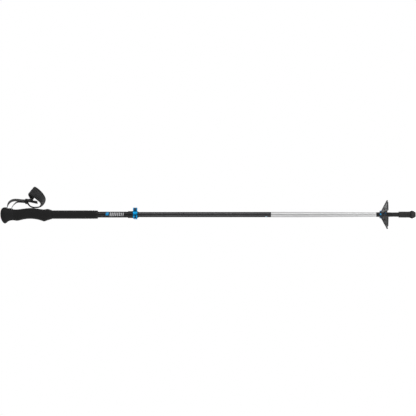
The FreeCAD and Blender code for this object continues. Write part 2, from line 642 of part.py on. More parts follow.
def build_lock_hardware():
    """Saddle, barrel nut, washer and tension screw."""
    middle = S.band_bottom + S.band_width * 0.5
    saddle_low = -S.ear_outer - S.washer_thickness
    half = S.saddle_length * 0.5
    plate = box(
        "saddle_plate",
        (S.screw_x - half, saddle_low, S.band_bottom + S.saddle_edge),
        (S.screw_x + half, -S.ear_outer, S.band_bottom + S.band_width - S.saddle_edge),
    )
    hole = cylinder(
        "saddle_hole", S.screw_hole_radius, S.washer_thickness, (S.screw_x, saddle_low, middle), TO_PLUS_Y
    )
    finished(less("cam_saddle", plate, hole), "cam_saddle")

    barrel_low = S.band_bottom + S.barrel_end_gap
    barrel_length = S.band_width - S.barrel_end_gap * 2
    pin = cylinder("barrel_pin", S.barrel_radius, barrel_length, (S.screw_x, S.pivot_y, barrel_low))
    thread_radius = S.screw_radius + S.running_clearance
    thread_at = (S.screw_x, S.pivot_y - S.barrel_radius - 1, middle)
    thread = cylinder("barrel_thread", thread_radius, S.barrel_radius * 2 + 2, thread_at, TO_PLUS_Y)
    finished(less("barrel_nut", pin, thread), "barrel_nut")

    disc_at = (S.screw_x, S.ear_outer, middle)
    disc = cylinder("washer_disc", S.washer_radius, S.washer_thickness, disc_at, TO_PLUS_Y)
    eye = cylinder("washer_eye", S.screw_hole_radius, S.washer_thickness, disc_at, TO_PLUS_Y)
    finished(less("screw_washer", disc, eye), "screw_washer")

    head_at = S.ear_outer + S.washer_thickness + S.running_clearance
    shank_start = S.pivot_y - S.barrel_radius
    shank_at = (S.screw_x, shank_start, middle)
    shank = cylinder("screw_shank", S.screw_radius, head_at - shank_start + 0.5, shank_at, TO_PLUS_Y)
    head_place = (S.screw_x, head_at, middle)
    head = cylinder("screw_head", S.screw_head_radius, S.screw_head_length, head_place, TO_PLUS_Y)
    socket = doc.addObject("Part::Prism", "screw_socket")
    socket.Polygon = 6
    socket.Placement = Placement(Vector(), TO_PLUS_Y)
    bind(socket, "Circumradius", S.screw_socket_radius)
    bind(socket, "Height", S.screw_socket_depth)
    bind(socket, "Placement.Base.x", S.screw_x)
    bind(socket, "Placement.Base.y", head_at + S.screw_head_length - S.screw_socket_depth)
    bind(socket, "Placement.Base.z", middle)
    finished(less("tension_screw", joined("screw_blank", shank, head), socket), "tension_screw")


def build_lever():
    """Lock lever: forked cam cheeks on the barrel nut, and an arm that wraps round the band."""
    middle = S.band_bottom + S.band_width * 0.5
    low = S.band_bottom
    top = low + S.band_width
    lever = new_body("lever_blank", low)
    sketch = new_sketch(lever, "lever_outline", "XY_Plane")
    start = math.radians(S.lever_start.value)
    end = start - math.radians(S.lever_sweep.value)
    flat = Vector(0, 0, 1)
    inner_circle = Part.Circle(Vector(), flat, S.lever_inner.value)
    outer_circle = Part.Circle(Vector(), flat, S.lever_outer.value)
    inner_arc = sketch.addGeometry(Part.ArcOfCircle(inner_circle, end, start))
    outer_arc = sketch.addGeometry(Part.ArcOfCircle(outer_circle, end, start))
    for arc, radius in ((inner_arc, S.lever_inner), (outer_arc, S.lever_outer)):
        sketch.addConstraint(Sketcher.Constraint("Coincident", arc, 3, *ORIGIN_POINT))
        at = sketch.addConstraint(Sketcher.Constraint("Radius", arc, radius.value))
        sketch.setExpression(f"Constraints[{at}]", radius.text)
    cam_bottom = Vector(S.screw_x.value, (S.pivot_y - S.cam_radius).value, 0)
    cam_side = Vector(S.lever_bridge_inner_x.value, S.lever_bridge_inner_y.value, 0)

    def rim(radius, angle):
        return Vector(radius.value * math.cos(angle), radius.value * math.sin(angle), 0)

    tip = sketch.addGeometry(Part.LineSegment(rim(S.lever_inner, end), rim(S.lever_outer, end)))
    back = sketch.addGeometry(Part.LineSegment(rim(S.lever_outer, start), cam_bottom))
    web = sketch.addGeometry(Part.LineSegment(cam_bottom, cam_side))
    belly = sketch.addGeometry(Part.LineSegment(cam_side, rim(S.lever_inner, start)))
    for one, one_end, other, other_end in (
        (inner_arc, 1, tip, 1), (tip, 2, outer_arc, 1), (outer_arc, 2, back, 1),
        (back, 2, web, 1), (web, 2, belly, 1), (belly, 2, inner_arc, 2),
    ):
        sketch.addConstraint(Sketcher.Constraint("Coincident", one, one_end, other, other_end))
    for line, across, up in (
        (web, S.screw_x, S.pivot_y - S.cam_radius),
        (belly, S.lever_bridge_inner_x, S.lever_bridge_inner_y),
    ):
        hold(sketch, "DistanceX", line, across, VERTICAL_AXIS)
        hold(sketch, "DistanceY", line, up, HORIZONTAL_AXIS)
    pad = lever.newObject("PartDesign::Pad", "lever_pad")
    pad.Profile = sketch
    bind(pad, "Length", S.band_width)

    cam_at = (S.screw_x, S.pivot_y + S.cam_offset, low)
    cam = cylinder("lever_cam", S.cam_radius, S.band_width, cam_at)
    bore_radius = S.barrel_radius + S.running_clearance
    bore = cylinder("lever_bore", bore_radius, S.band_width, (S.screw_x, S.pivot_y, low))
    fork = box(
        "lever_fork",
        (S.fork_start, S.pivot_y - 8, middle - S.fork_half),
        (S.ear_reach + 2, 0, middle + S.fork_half),
    )
    thumb_slot = box(
        "lever_thumb_slot",
        (S.thumb_slot_to, -S.lever_outer - 1, middle - S.thumb_slot_half),
        (S.thumb_slot_from, 0, middle + S.thumb_slot_half),
    )
    corner = doc.addObject("Part::Box", "lever_tip_corner")
    bind(corner, "Length", S.lever_outer)
    bind(corner, "Width", S.lever_outer * 2)
    bind(corner, "Height", S.band_width)
    corner.Placement.Rotation = Rotation(Vector(0, -1, 0), 180 - S.tip_chamfer_angle.value)
    bind(corner, "Placement.Base.x", S.tip_chamfer_x)
    bind(corner, "Placement.Base.y", -S.lever_outer)
    bind(corner, "Placement.Base.z", top)
    blank = joined("lever_joined", lever, cam)
    finished(less("clamp_lever", blank, bore, fork, thumb_slot, corner), "clamp_lever")


# ---------------------------------------------------------------- grip and strap


def build_grip():
    """Foam grip and lower grip on the tube, the end ring, the inner core and the hard head."""
    ring_body = new_body("grip_end_ring", S.end_ring_bottom)
    turned(ring_body, "end_ring", [
        (S.upper_radius, 0), (S.end_ring_radius - S.end_ring_chamfer, 0),
        (S.end_ring_radius, S.end_ring_chamfer), (S.end_ring_radius, S.end_ring_height),
        (S.upper_radius, S.end_ring_height),
    ])
    finished(ring_body, "grip_end_ring")

    extension = new_body("grip_extension", S.extension_bottom)
    corners = [(S.upper_radius, 0), (S.extension_radius, 0)]
    for centre in (S.groove_low, S.groove_mid, S.groove_high):
        half = S.groove_width * 0.5
        corners += [
            (S.extension_radius, centre - half), (S.extension_radius - S.groove_depth, centre),
            (S.extension_radius, centre + half),
        ]
    length = S.grip_bottom - S.extension_bottom
    corners += [(S.extension_radius, length), (S.upper_radius, length)]
    turned(extension, "extension", corners)
    finished(extension, "grip_extension")

    core = new_body("grip_core", S.grip_bottom)
    core_top = S.head_bottom - S.grip_bottom
    socket_top = S.upper_top + S.top_plug_head - S.grip_bottom
    turned(core, "grip_core", [
        (S.upper_radius, 0), (S.core_radius, 0), (S.core_radius, core_top), (0, core_top),
        (0, socket_top), (S.upper_radius, socket_top),
    ])
    finished(core, "grip_core")

    foam_blank = skinned("foam_blank", "foam", FOAM_STATIONS, ruled=False)
    core_space = cylinder("foam_bore", S.core_radius, S.head_bottom - S.grip_bottom, (0, 0, S.grip_bottom))
    finished(less("grip_foam", foam_blank, core_space), "grip_foam")

    head_blank = skinned("head_blank", "head", HEAD_STATIONS, ruled=True)
    slot_half = S.wedge_half + S.webbing_thickness + S.slot_play
    width_half = S.slot_width * 0.5
    pocket_back = S.wedge_nose_x - slot_half
    pocket = box(
        "strap_pocket",
        (pocket_back, -width_half, S.strap_height - slot_half),
        (S.slot_reach, width_half, S.strap_height + slot_half),
    )
    pin_at = (S.wedge_nose_x, -S.strap_pin_half, S.strap_height)
    pin_hole = cylinder("pin_hole", S.strap_pin_radius, S.strap_pin_half * 2, pin_at, TO_PLUS_Y)
    finished(less("grip_head", head_blank, pocket, pin_hole), "grip_head")
    pin = cylinder("strap_pin", S.strap_pin_radius, S.strap_pin_half * 2, pin_at, TO_PLUS_Y)
    finished(pin, "strap_pin")


def build_wedge():
    """Wedge with a round nose that jams the strap in the head's slot."""
    half_width = S.wedge_width * 0.5
    nose_at = (S.wedge_nose_x, -half_width, S.strap_height)
    nose = cylinder("wedge_nose", S.wedge_half, S.wedge_width, nose_at, TO_PLUS_Y)
    block = box(
        "wedge_block",
        (S.wedge_nose_x, -half_width, S.strap_height - S.wedge_half),
        (S.wedge_reach, half_width, S.strap_height + S.wedge_half),
    )
    hole = cylinder("wedge_hole", S.strap_pin_radius, S.wedge_width, nose_at, TO_PLUS_Y)
    finished(less("strap_wedge", joined("wedge_blank", nose, block), hole), "strap_wedge")


def build_strap():
    """Webbing anchored round the wedge, two strands, keeper, padded wrist band, lining and tail."""
    thickness = S.webbing_thickness.value
    width = S.webbing_width.value - 1
    nose = Vector(S.wedge_nose_x.value, -width / 2, S.strap_height.value)
    turn = Part.makeCylinder(S.wedge_half.value + thickness, width, nose, Vector(0, 1, 0))
    turn = turn.cut(Part.makeCylinder(S.wedge_half.value, width, nose, Vector(0, 1, 0)))
    mouth = Part.makeBox(40, width, 40, nose - Vector(0, 0, 20))
    turn = turn.cut(mouth)
    inside = [turn]
    for side in (-1, 1):
        level = S.strap_height.value + side * (S.wedge_half.value + thickness / 2)
        start = Vector(nose.x, nose.y, level - thickness / 2)
        inside.append(Part.makeBox(18.2 - nose.x, width, thickness, start))
    upper = ribbon(UPPER_STRAND, thickness)
    lower = ribbon(LOWER_STRAND, thickness)
    near_pivot = about_pivot(S.anchor_reach)
    wedge_space = Part.makeBox(
        S.wedge_reach.value + 0.1, 40, S.wedge_half.value * 2, Vector(0, -20, S.strap_height.value - S.wedge_half.value)
    )
    stubs = [strand.common(near_pivot).cut(wedge_space) for strand in (upper, lower)]
    anchor = inside[0].multiFuse(inside[1:] + stubs).removeSplitter()
    soft("strap_anchor", anchor)

    beyond = about_pivot(S.strap_start)
    strands = Part.makeCompound([upper.cut(beyond), lower.cut(beyond)])
    soft("strap_webbing", strands)
    soft("wrist_band", ribbon(WRIST_BAND, S.band_thickness.value))
    soft("band_lining", lining_shape(WRIST_BAND, *LINING_SPAN))
    soft("strap_tail", ribbon(STRAP_TAIL, thickness))
    soft("tail_tab", ribbon(TAIL_TAB, S.tail_tab_thickness.value))

    wall = S.keeper_wall.value
    keeper_low = Vector(33.4 - wall, -11 - wall, 1184.2)
    keeper = Part.makeBox(13.8 + 2 * wall, 22 + 2 * wall, 6, keeper_low)
    opening = Part.makeBox(13.8, 22, 8, keeper_low + Vector(wall, wall, -1))
    soft("strap_keeper", keeper.cut(opening))


def lining_shape(stations, first, last):
    """A thinner layer on the wrist side of the band's wide stretch."""
    thickness = S.lining_thickness.value
    gap = (S.band_thickness.value + thickness) / 2 + S.lining_gap.value
    sections = []
    rises = []
    for i in range(first, last + 1):
        near, far = Vector(*stations[i][0]), Vector(*stations[i][1])
        across = (far - near) * LINING_INSET
        away = rise_at(stations, i, gap)
        sections.append((near + across - away, far - across - away))
        rises.append(rise_at(stations, i, thickness / 2))
    return slab(sections, rises)


# ---------------------------------------------------------------- build, test and write


def test_everything():
    """Stops if any object failed or any sub-part is not a sound solid."""
    for thing in doc.Objects:
        if set(thing.State) & {"Invalid", "Error"}:
            raise RuntimeError(f"{thing.Label} failed: {thing.State}")
    for thing in sub_parts:
        shape = thing.Shape
        if shape.isNull() or not shape.isValid() or not shape.Solids:
            raise RuntimeError(f"{thing.Label} is not a valid solid")
        print(f"{thing.Label:20s} {len(shape.Solids)} solid(s) {shape.Volume / 1000:9.3f} cm3")


build_foot()
build_tip()
build_basket()
build_lower_shaft()
build_upper_tube()
build_collar()
build_band()
build_lock_hardware()
build_lever()
build_grip()
build_wedge()
build_strap()
doc.recompute()
test_everything()

os.makedirs("parts", exist_ok=True)
for sub_part in sub_parts:
    sub_part.Shape.exportStep(f"parts/{sub_part.Label}.step")
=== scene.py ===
import logging
import math
from dataclasses import dataclass
from enum import Enum
from typing import Callable, Iterable, Sequence, Union

import bmesh
import bpy
from mathutils import Matrix, Vector


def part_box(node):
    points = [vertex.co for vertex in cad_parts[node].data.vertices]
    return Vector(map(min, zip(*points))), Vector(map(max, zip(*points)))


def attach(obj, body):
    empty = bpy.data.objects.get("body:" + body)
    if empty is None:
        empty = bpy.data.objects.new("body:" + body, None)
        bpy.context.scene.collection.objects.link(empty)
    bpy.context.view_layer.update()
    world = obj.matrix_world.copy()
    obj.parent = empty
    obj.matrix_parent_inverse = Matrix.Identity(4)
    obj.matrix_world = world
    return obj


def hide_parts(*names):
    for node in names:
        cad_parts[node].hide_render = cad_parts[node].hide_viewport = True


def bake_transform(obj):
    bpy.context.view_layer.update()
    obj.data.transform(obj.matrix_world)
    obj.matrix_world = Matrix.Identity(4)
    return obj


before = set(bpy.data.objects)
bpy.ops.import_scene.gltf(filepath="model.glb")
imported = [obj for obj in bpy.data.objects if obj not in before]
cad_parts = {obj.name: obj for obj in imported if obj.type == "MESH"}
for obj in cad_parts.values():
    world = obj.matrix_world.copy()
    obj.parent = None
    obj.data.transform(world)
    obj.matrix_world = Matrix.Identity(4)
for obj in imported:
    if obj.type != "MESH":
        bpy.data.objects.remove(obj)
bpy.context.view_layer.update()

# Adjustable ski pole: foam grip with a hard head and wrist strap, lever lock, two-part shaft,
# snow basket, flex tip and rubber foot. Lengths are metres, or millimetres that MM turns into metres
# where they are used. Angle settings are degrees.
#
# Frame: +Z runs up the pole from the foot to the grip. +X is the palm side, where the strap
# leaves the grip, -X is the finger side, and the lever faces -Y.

MM = 0.001
TAPE_MAP = "metres"
SLOT_MIDDLE = 1239 * MM

Colour = tuple[float, float, float]
Corner = tuple[float, float, float]
Station = tuple[Corner, Corner]
Source = Union[bpy.types.NodeSocket, float, Sequence[float]]

log = logging.getLogger("ski_pole")


# ---------------------------------------------------------------- shader wiring


class Wiring:
    """Short calls that add and join nodes in one shader tree."""

    def __init__(self, tree: bpy.types.NodeTree) -> None:
        """Keeps the tree that the nodes go in."""
        self.tree = tree

    def add(self, kind: str, **settings: object) -> bpy.types.Node:
        """Adds a node.

        Args:
            kind: The node's Blender type name.
            settings: Properties to set on it.

        Returns:
            The new node.
        """
        node = self.tree.nodes.new(kind)
        for name, value in settings.items():
            setattr(node, name, value)
        return node

    def feed(self, socket: bpy.types.NodeSocket, source: Source) -> None:
        """Joins a socket to an output, or sets its plain value."""
        if isinstance(source, bpy.types.NodeSocket):
            self.tree.links.new(source, socket)
        else:
            socket.default_value = source

    def math(self, operation: str, *sources: Source, clamp: bool = False) -> bpy.types.NodeSocket:
        """A Math node of one, two or three sources; returns its output."""
        node = self.add("ShaderNodeMath", operation=operation, use_clamp=clamp)
        for socket, source in zip(node.inputs, sources):
            self.feed(socket, source)
        return node.outputs[0]

    def times(self, first: Source, second: Source) -> bpy.types.NodeSocket:
        """One value times another."""
        return self.math("MULTIPLY", first, second)

    def plus(self, first: Source, second: Source) -> bpy.types.NodeSocket:
        """One value plus another."""
        return self.math("ADD", first, second)

    def minus(self, first: Source, second: Source, clamp: bool = False) -> bpy.types.NodeSocket:
        """One value minus another."""
        return self.math("SUBTRACT", first, second, clamp=clamp)

    def axes(self, place: Source) -> bpy.types.NodeOutputs:
        """A place taken apart into X, Y and Z."""
        node = self.add("ShaderNodeSeparateXYZ")
        self.feed(node.inputs[0], place)
        return node.outputs

    def spread(
        self, source: Source, low: float, high: float, first: Source, last: Source
    ) -> bpy.types.NodeSocket:
        """Maps low..high to first..last, clamped; returns the output."""
        node = self.add("ShaderNodeMapRange", clamp=True)
        for name, value in (("Value", source), ("From Min", low), ("From Max", high),
                            ("To Min", first), ("To Max", last)):
            self.feed(node.inputs[name], value)
        return node.outputs["Result"]

    def tint(self, mask: Source, first: Source, second: Source) -> bpy.types.NodeSocket:
        """Mixes two colours by a mask; returns the colour."""
        node = self.add("ShaderNodeMix", data_type="RGBA")
        for at, source in ((0, mask), (6, first), (7, second)):
            self.feed(node.inputs[at], rgba(source) if is_colour(source) else source)
        return node.outputs[2]

    def noise(self, place: Source, scale: Source, detail: float = 3.0) -> bpy.types.NodeSocket:
        """A Noise texture's value at a place."""
        node = self.add("ShaderNodeTexNoise")
        self.feed(node.inputs["Vector"], place)
        self.feed(node.inputs["Scale"], scale)
        node.inputs["Detail"].default_value = detail
        return node.outputs["Fac"]

    def place(self) -> bpy.types.NodeSocket:
        """Object coordinates, which stay with a piece as it moves."""
        return self.add("ShaderNodeTexCoord").outputs["Object"]

    def stretched(self, place: Source, scale: Corner) -> bpy.types.NodeSocket:
        """A place scaled along each axis."""
        node = self.add("ShaderNodeMapping")
        self.feed(node.inputs["Vector"], place)
        node.inputs["Scale"].default_value = scale
        return node.outputs["Vector"]


def is_colour(source: Source) -> bool:
    """True for a plain colour of three numbers."""
    return isinstance(source, tuple) and len(source) == 3


def rgba(colour: Colour) -> tuple[float, float, float, float]:
    """A colour with full alpha."""
    return (*colour, 1.0)


class Effects:
    """Shader node groups that several finishes share, each built once and then placed."""

    def __init__(self) -> None:
        """Starts with nothing built."""
        self._built: dict[str, bpy.types.NodeTree] = {}

    def placed(self, wiring: Wiring, name: str, **values: Source) -> bpy.types.Node:
        """Places a group in a material.

        Args:
            wiring: The material's wiring.
            name: The effect's name, which is also its method's.
            values: The group's inputs, by socket name.

        Returns:
            The group node.
        """
        if name not in self._built:
            tree = bpy.data.node_groups.new(name, "ShaderNodeTree")
            getattr(self, name)(tree, Wiring(tree))
            self._built[name] = tree
        node = wiring.add("ShaderNodeGroup", node_tree=self._built[name])
        for socket, value in values.items():
            wiring.feed(node.inputs[socket], value)
        return node

    @staticmethod
    def _sockets(
        tree: bpy.types.NodeTree, inputs: dict[str, float], outputs: Sequence[str]
    ) -> tuple[bpy.types.Node, bpy.types.Node]:
        """Gives a group its named number sockets; returns its input and output nodes."""
        for name, value in inputs.items():
            socket = tree.interface.new_socket(name=name, in_out="INPUT", socket_type="NodeSocketFloat")
            socket.default_value = value
        for name in outputs:
            tree.interface.new_socket(name=name, in_out="OUTPUT", socket_type="NodeSocketFloat")
        return tree.nodes.new("NodeGroupInput"), tree.nodes.new("NodeGroupOutput")

    def moulded_grain(self, tree: bpy.types.NodeTree, wiring: Wiring) -> None:
        """Fine sparkle of a textured mould, with a slow change of tone over the piece."""
        given, found = self._sockets(tree, {"Grain": 900.0, "Patch": 40.0}, ("Height", "Tone"))
        place = wiring.place()
        fine = wiring.noise(place, given.outputs["Grain"], 2.0)
        pits = wiring.add("ShaderNodeTexVoronoi", feature="F1")
        wiring.feed(pits.inputs["Vector"], place)
        wiring.feed(pits.inputs["Scale"], given.outputs["Grain"])
        height = wiring.plus(wiring.times(fine, 0.6), wiring.times(pits.outputs["Distance"], 0.5))
        wiring.feed(found.inputs["Height"], height)
        wiring.feed(found.inputs["Tone"], wiring.noise(place, given.outputs["Patch"], 4.0))

    def edge_wear(self, tree: bpy.types.NodeTree, wiring: Wiring) -> None:
        """Rubbed outer edges, broken up so that the rub isn't even."""
        given, found = self._sockets(tree, {"Reach": 0.06, "Break": 260.0}, ("Mask",))
        sharp = wiring.add("ShaderNodeNewGeometry").outputs["Pointiness"]
        above = wiring.minus(sharp, 0.5)
        edge = wiring.math("DIVIDE", above, given.outputs["Reach"], clamp=True)
        broken = wiring.noise(wiring.place(), given.outputs["Break"], 5.0)
        rough_edge = wiring.times(edge, wiring.spread(broken, 0.38, 0.62, 0.0, 1.0))
        wiring.feed(found.inputs["Mask"], rough_edge)

    def woven_tape(self, tree: bpy.types.NodeTree, wiring: Wiring) -> None:
        """Over-and-under threads on a tape, whose map runs across it and along it in metres."""
        given, found = self._sockets(tree, {"Pitch": 0.0011, "Slant": 0.6}, ("Height", "Shade"))
        tape = wiring.add("ShaderNodeUVMap", uv_map=TAPE_MAP).outputs["UV"]
        apart = wiring.axes(tape)
        across, along = apart["X"], apart["Y"]
        shift = wiring.times(wiring.math("ABSOLUTE", across), given.outputs["Slant"])
        turns = []
        for run in (across, wiring.plus(along, shift)):
            turns.append(wiring.times(wiring.math("DIVIDE", run, given.outputs["Pitch"]), math.pi))
        waves = [wiring.math("SINE", turn) for turn in turns]
        over = wiring.math("GREATER_THAN", wiring.times(*waves), 0.0)
        ridges = [wiring.math("ABSOLUTE", wave) for wave in waves]
        under = wiring.times(ridges[1], wiring.minus(1.0, over))
        height = wiring.plus(wiring.times(ridges[0], over), under)
        wiring.feed(found.inputs["Height"], height)
        wiring.feed(found.inputs["Shade"], wiring.times(height, wiring.spread(over, 0.0, 1.0, 0.75, 1.0)))

    def foam_cells(self, tree: bpy.types.NodeTree, wiring: Wiring) -> None:
        """Small closed cells of moulded foam, larger and smaller ones mixed."""
        given, found = self._sockets(tree, {"Cells": 1500.0}, ("Height", "Tone"))
        place = wiring.place()
        heights = []
        for share in (1.0, 0.42):
            cells = wiring.add("ShaderNodeTexVoronoi", feature="SMOOTH_F1")
            wiring.feed(cells.inputs["Vector"], place)
            wiring.feed(cells.inputs["Scale"], wiring.times(given.outputs["Cells"], share))
            heights.append(cells.outputs["Distance"])
        wiring.feed(found.inputs["Height"], wiring.plus(*heights))
        wiring.feed(found.inputs["Tone"], wiring.noise(place, 55.0, 5.0))

    def long_marks(self, tree: bpy.types.NodeTree, wiring: Wiring) -> None:
        """Drawn lines and light scratches that run along a tube."""
        given, found = self._sockets(tree, {"Fine": 2600.0, "Long": 14.0}, ("Height", "Scratch", "Tone"))
        place = wiring.place()
        apart = wiring.axes(place)
        joined = wiring.add("ShaderNodeCombineXYZ")
        for axis, scale in (("X", "Fine"), ("Y", "Fine"), ("Z", "Long")):
            wiring.feed(joined.inputs[axis], wiring.times(apart[axis], given.outputs[scale]))
        drawn = wiring.noise(joined.outputs[0], 1.0, 3.0)
        wiring.feed(found.inputs["Height"], drawn)
        sparse = wiring.noise(wiring.stretched(place, (420.0, 420.0, 22.0)), 1.0, 6.0)
        wiring.feed(found.inputs["Scratch"], wiring.spread(sparse, 0.66, 0.74, 0.0, 1.0))
        wiring.feed(found.inputs["Tone"], wiring.noise(wiring.stretched(place, (60.0, 60.0, 9.0)), 1.0, 3.0))

    def printed_bars(self, tree: bpy.types.NodeTree, wiring: Wiring) -> None:
        """A patch of slanted bars printed round a tube, between two heights and about one side."""
        inputs = {"Low": 0.0, "High": 1.0, "Pitch": 0.006, "Filled": 0.6, "Slant": 0.0,
                  "Middle": 0.0, "Half": 0.7, "Taper": 0.0}
        given, found = self._sockets(tree, inputs, ("Mask",))
        apart = wiring.axes(wiring.place())
        side = wiring.math("ARCTAN2", apart["X"], wiring.times(apart["Y"], -1.0))
        off_middle = wiring.minus(side, given.outputs["Middle"])
        height = wiring.plus(apart["Z"], wiring.times(off_middle, given.outputs["Slant"]))
        risen = wiring.minus(height, given.outputs["Low"])
        span = wiring.minus(given.outputs["High"], given.outputs["Low"])
        share = wiring.math("DIVIDE", risen, span)
        above, below = wiring.math("GREATER_THAN", share, 0.0), wiring.math("LESS_THAN", share, 1.0)
        within = wiring.times(above, below)
        turn = wiring.math("FRACT", wiring.math("DIVIDE", risen, given.outputs["Pitch"]))
        thinner = wiring.times(wiring.minus(1.0, share), given.outputs["Taper"])
        filled = wiring.math("LESS_THAN", turn, wiring.minus(given.outputs["Filled"], thinner))
        facing = wiring.math("LESS_THAN", wiring.math("ABSOLUTE", off_middle), given.outputs["Half"])
        mask = wiring.times(wiring.times(within, filled), facing)
        wiring.feed(found.inputs["Mask"], mask)

    def settled_dust(self, tree: bpy.types.NodeTree, wiring: Wiring) -> None:
        """Pale dust and dried snow marks, thicker toward the ground."""
        given, found = self._sockets(tree, {"Height": 0.12, "Amount": 0.5}, ("Mask",))
        place = wiring.place()
        apart = wiring.axes(place)
        risen = wiring.math("DIVIDE", apart["Z"], given.outputs["Height"])
        low = wiring.minus(1.0, risen, clamp=True)
        cloud = wiring.spread(wiring.noise(place, 160.0, 7.0), 0.45, 0.75, 0.0, 1.0)
        mask = wiring.times(wiring.times(low, cloud), given.outputs["Amount"])
        wiring.feed(found.inputs["Mask"], mask)


EFFECTS = Effects()


# ---------------------------------------------------------------- finishes


@dataclass(frozen=True)
class Finish:
    """What every finish has: a base colour, a rubbed or raised colour and a roughness."""

    colour: Colour
    lighter: Colour
    roughness: float

    def started(self, name: str) -> tuple[bpy.types.Material, Wiring, bpy.types.Node]:
        """A new material.

        Args:
            name: The material's name.

        Returns:
            The material, its wiring and its Principled node.
        """
        material = bpy.data.materials.new(name)
        material.use_nodes = True
        return material, Wiring(material.node_tree), material.node_tree.nodes["Principled BSDF"]

    @staticmethod
    def bumped(
        wiring: Wiring, shader: bpy.types.Node, height: Source, strength: float, depth: float
    ) -> None:
        """Feeds a height through a Bump node to the shader's normal."""
        bump = wiring.add("ShaderNodeBump")
        bump.inputs["Strength"].default_value = strength
        bump.inputs["Distance"].default_value = depth
        wiring.feed(bump.inputs["Height"], height)
        wiring.feed(shader.inputs["Normal"], bump.outputs["Normal"])


@dataclass(frozen=True)
class Moulded(Finish):
    """Moulded plastic or rubber with mould grain, rubbed edges and some dust near the ground."""

    grain: float = 900.0
    depth: float = 0.00006
    wear: float = 0.5
    dust: float = 0.0

    def material(self, name: str) -> bpy.types.Material:
        """Builds the material under a name."""
        material, wiring, shader = self.started(name)
        grain = EFFECTS.placed(wiring, "moulded_grain", Grain=self.grain, Patch=45.0)
        worn = EFFECTS.placed(wiring, "edge_wear", Reach=0.08, Break=320.0)
        toned = wiring.spread(grain.outputs["Tone"], 0.3, 0.7, 0.0, 0.55)
        body = wiring.tint(toned, self.colour, self.lighter)
        edge = wiring.times(worn.outputs["Mask"], self.wear)
        colour = wiring.tint(edge, body, tuple(min(1.0, c * 1.7) for c in self.lighter))
        if self.dust:
            dust = EFFECTS.placed(wiring, "settled_dust", Amount=self.dust)
            colour = wiring.tint(dust.outputs["Mask"], colour, (0.32, 0.3, 0.27))
        wiring.feed(shader.inputs["Base Color"], colour)
        low, high = self.roughness - 0.09, self.roughness + 0.12
        wiring.feed(shader.inputs["Roughness"], wiring.spread(grain.outputs["Height"], 0.2, 0.9, low, high))
        shader.inputs["Specular IOR Level"].default_value = 0.45
        self.bumped(wiring, shader, grain.outputs["Height"], 0.55, self.depth)
        return material


@dataclass(frozen=True)
class Foam(Finish):
    """Closed-cell grip foam, dull and slightly mottled."""

    cells: float = 1500.0

    def material(self, name: str) -> bpy.types.Material:
        """Builds the material under a name."""
        material, wiring, shader = self.started(name)
        cells = EFFECTS.placed(wiring, "foam_cells", Cells=self.cells)
        worn = EFFECTS.placed(wiring, "edge_wear", Reach=0.12, Break=150.0)
        mottled = wiring.spread(cells.outputs["Tone"], 0.32, 0.68, 0.0, 1.0)
        # Painted shade: the foam's colour darkens toward 0.45 of itself with the cells' height map, as shade
        # in the cell pits.
        pit_shade = wiring.spread(cells.outputs["Height"], 0.2, 1.2, 0.0, 0.5)
        body = wiring.tint(wiring.times(mottled, 0.8), self.colour, self.lighter)
        pits = wiring.tint(pit_shade, body, tuple(c * 0.45 for c in self.colour))
        rub = wiring.times(worn.outputs["Mask"], 0.35)
        rubbed = tuple(c * 1.8 for c in self.lighter)
        wiring.feed(shader.inputs["Base Color"], wiring.tint(rub, pits, rubbed))
        rough = wiring.spread(cells.outputs["Tone"], 0.3, 0.7, self.roughness - 0.08, 1.0)
        wiring.feed(shader.inputs["Roughness"], rough)
        shader.inputs["Specular IOR Level"].default_value = 0.3
        shader.inputs["Sheen Weight"].default_value = 0.12
        shader.inputs["Sheen Roughness"].default_value = 0.6
        self.bumped(wiring, shader, cells.outputs["Height"], 0.7, 0.00012)
        return material


@dataclass(frozen=True)
class Bars:
    """One printed patch on a tube: its heights, bar spacing, side and colour."""

    low: float
    high: float
    colour: Colour
    pitch: float = 1.0
    filled: float = 1.0
    slant: float = 0.0
    middle: float = 0.0
    half: float = 0.7
    taper: float = 0.0


@dataclass(frozen=True)
class Tube(Finish):
    """Drawn and anodised tube with fine lengthwise lines, light scratches and printed patches."""

    metal: float = 1.0
    drawn: float = 0.25
    scratch: Colour = (0.3, 0.3, 0.3)
    prints: tuple[Bars, ...] = ()

    def material(self, name: str) -> bpy.types.Material:
        """Builds the material under a name."""
        material, wiring, shader = self.started(name)
        marks = EFFECTS.placed(wiring, "long_marks")
        toned = wiring.spread(marks.outputs["Tone"], 0.3, 0.7, 0.0, 1.0)
        colour = wiring.tint(toned, self.colour, self.lighter)
        scuffed = wiring.times(marks.outputs["Scratch"], 0.3)
        colour = wiring.tint(scuffed, colour, self.scratch)
        inked: Source = 0.0
        for bars in self.prints:
            patch = EFFECTS.placed(
                wiring, "printed_bars", Low=bars.low, High=bars.high, Pitch=bars.pitch, Filled=bars.filled,
                Slant=bars.slant, Middle=bars.middle, Half=bars.half, Taper=bars.taper,
            )
            left = wiring.spread(marks.outputs["Scratch"], 0.0, 1.0, 1.0, 0.3)
            worn = wiring.times(patch.outputs["Mask"], left)
            colour = wiring.tint(worn, colour, bars.colour)
            inked = wiring.math("MAXIMUM", inked, worn)
        wiring.feed(shader.inputs["Base Color"], colour)
        rough = wiring.spread(marks.outputs["Height"], 0.3, 0.7, self.roughness - 0.06, self.roughness + 0.08)
        wiring.feed(shader.inputs["Roughness"], rough)
        if self.prints:
            wiring.feed(shader.inputs["Metallic"], wiring.spread(inked, 0.0, 1.0, self.metal, 0.0))
        else:
            shader.inputs["Metallic"].default_value = self.metal
        self.bumped(wiring, shader, marks.outputs["Height"], self.drawn, 0.00003)
        return material


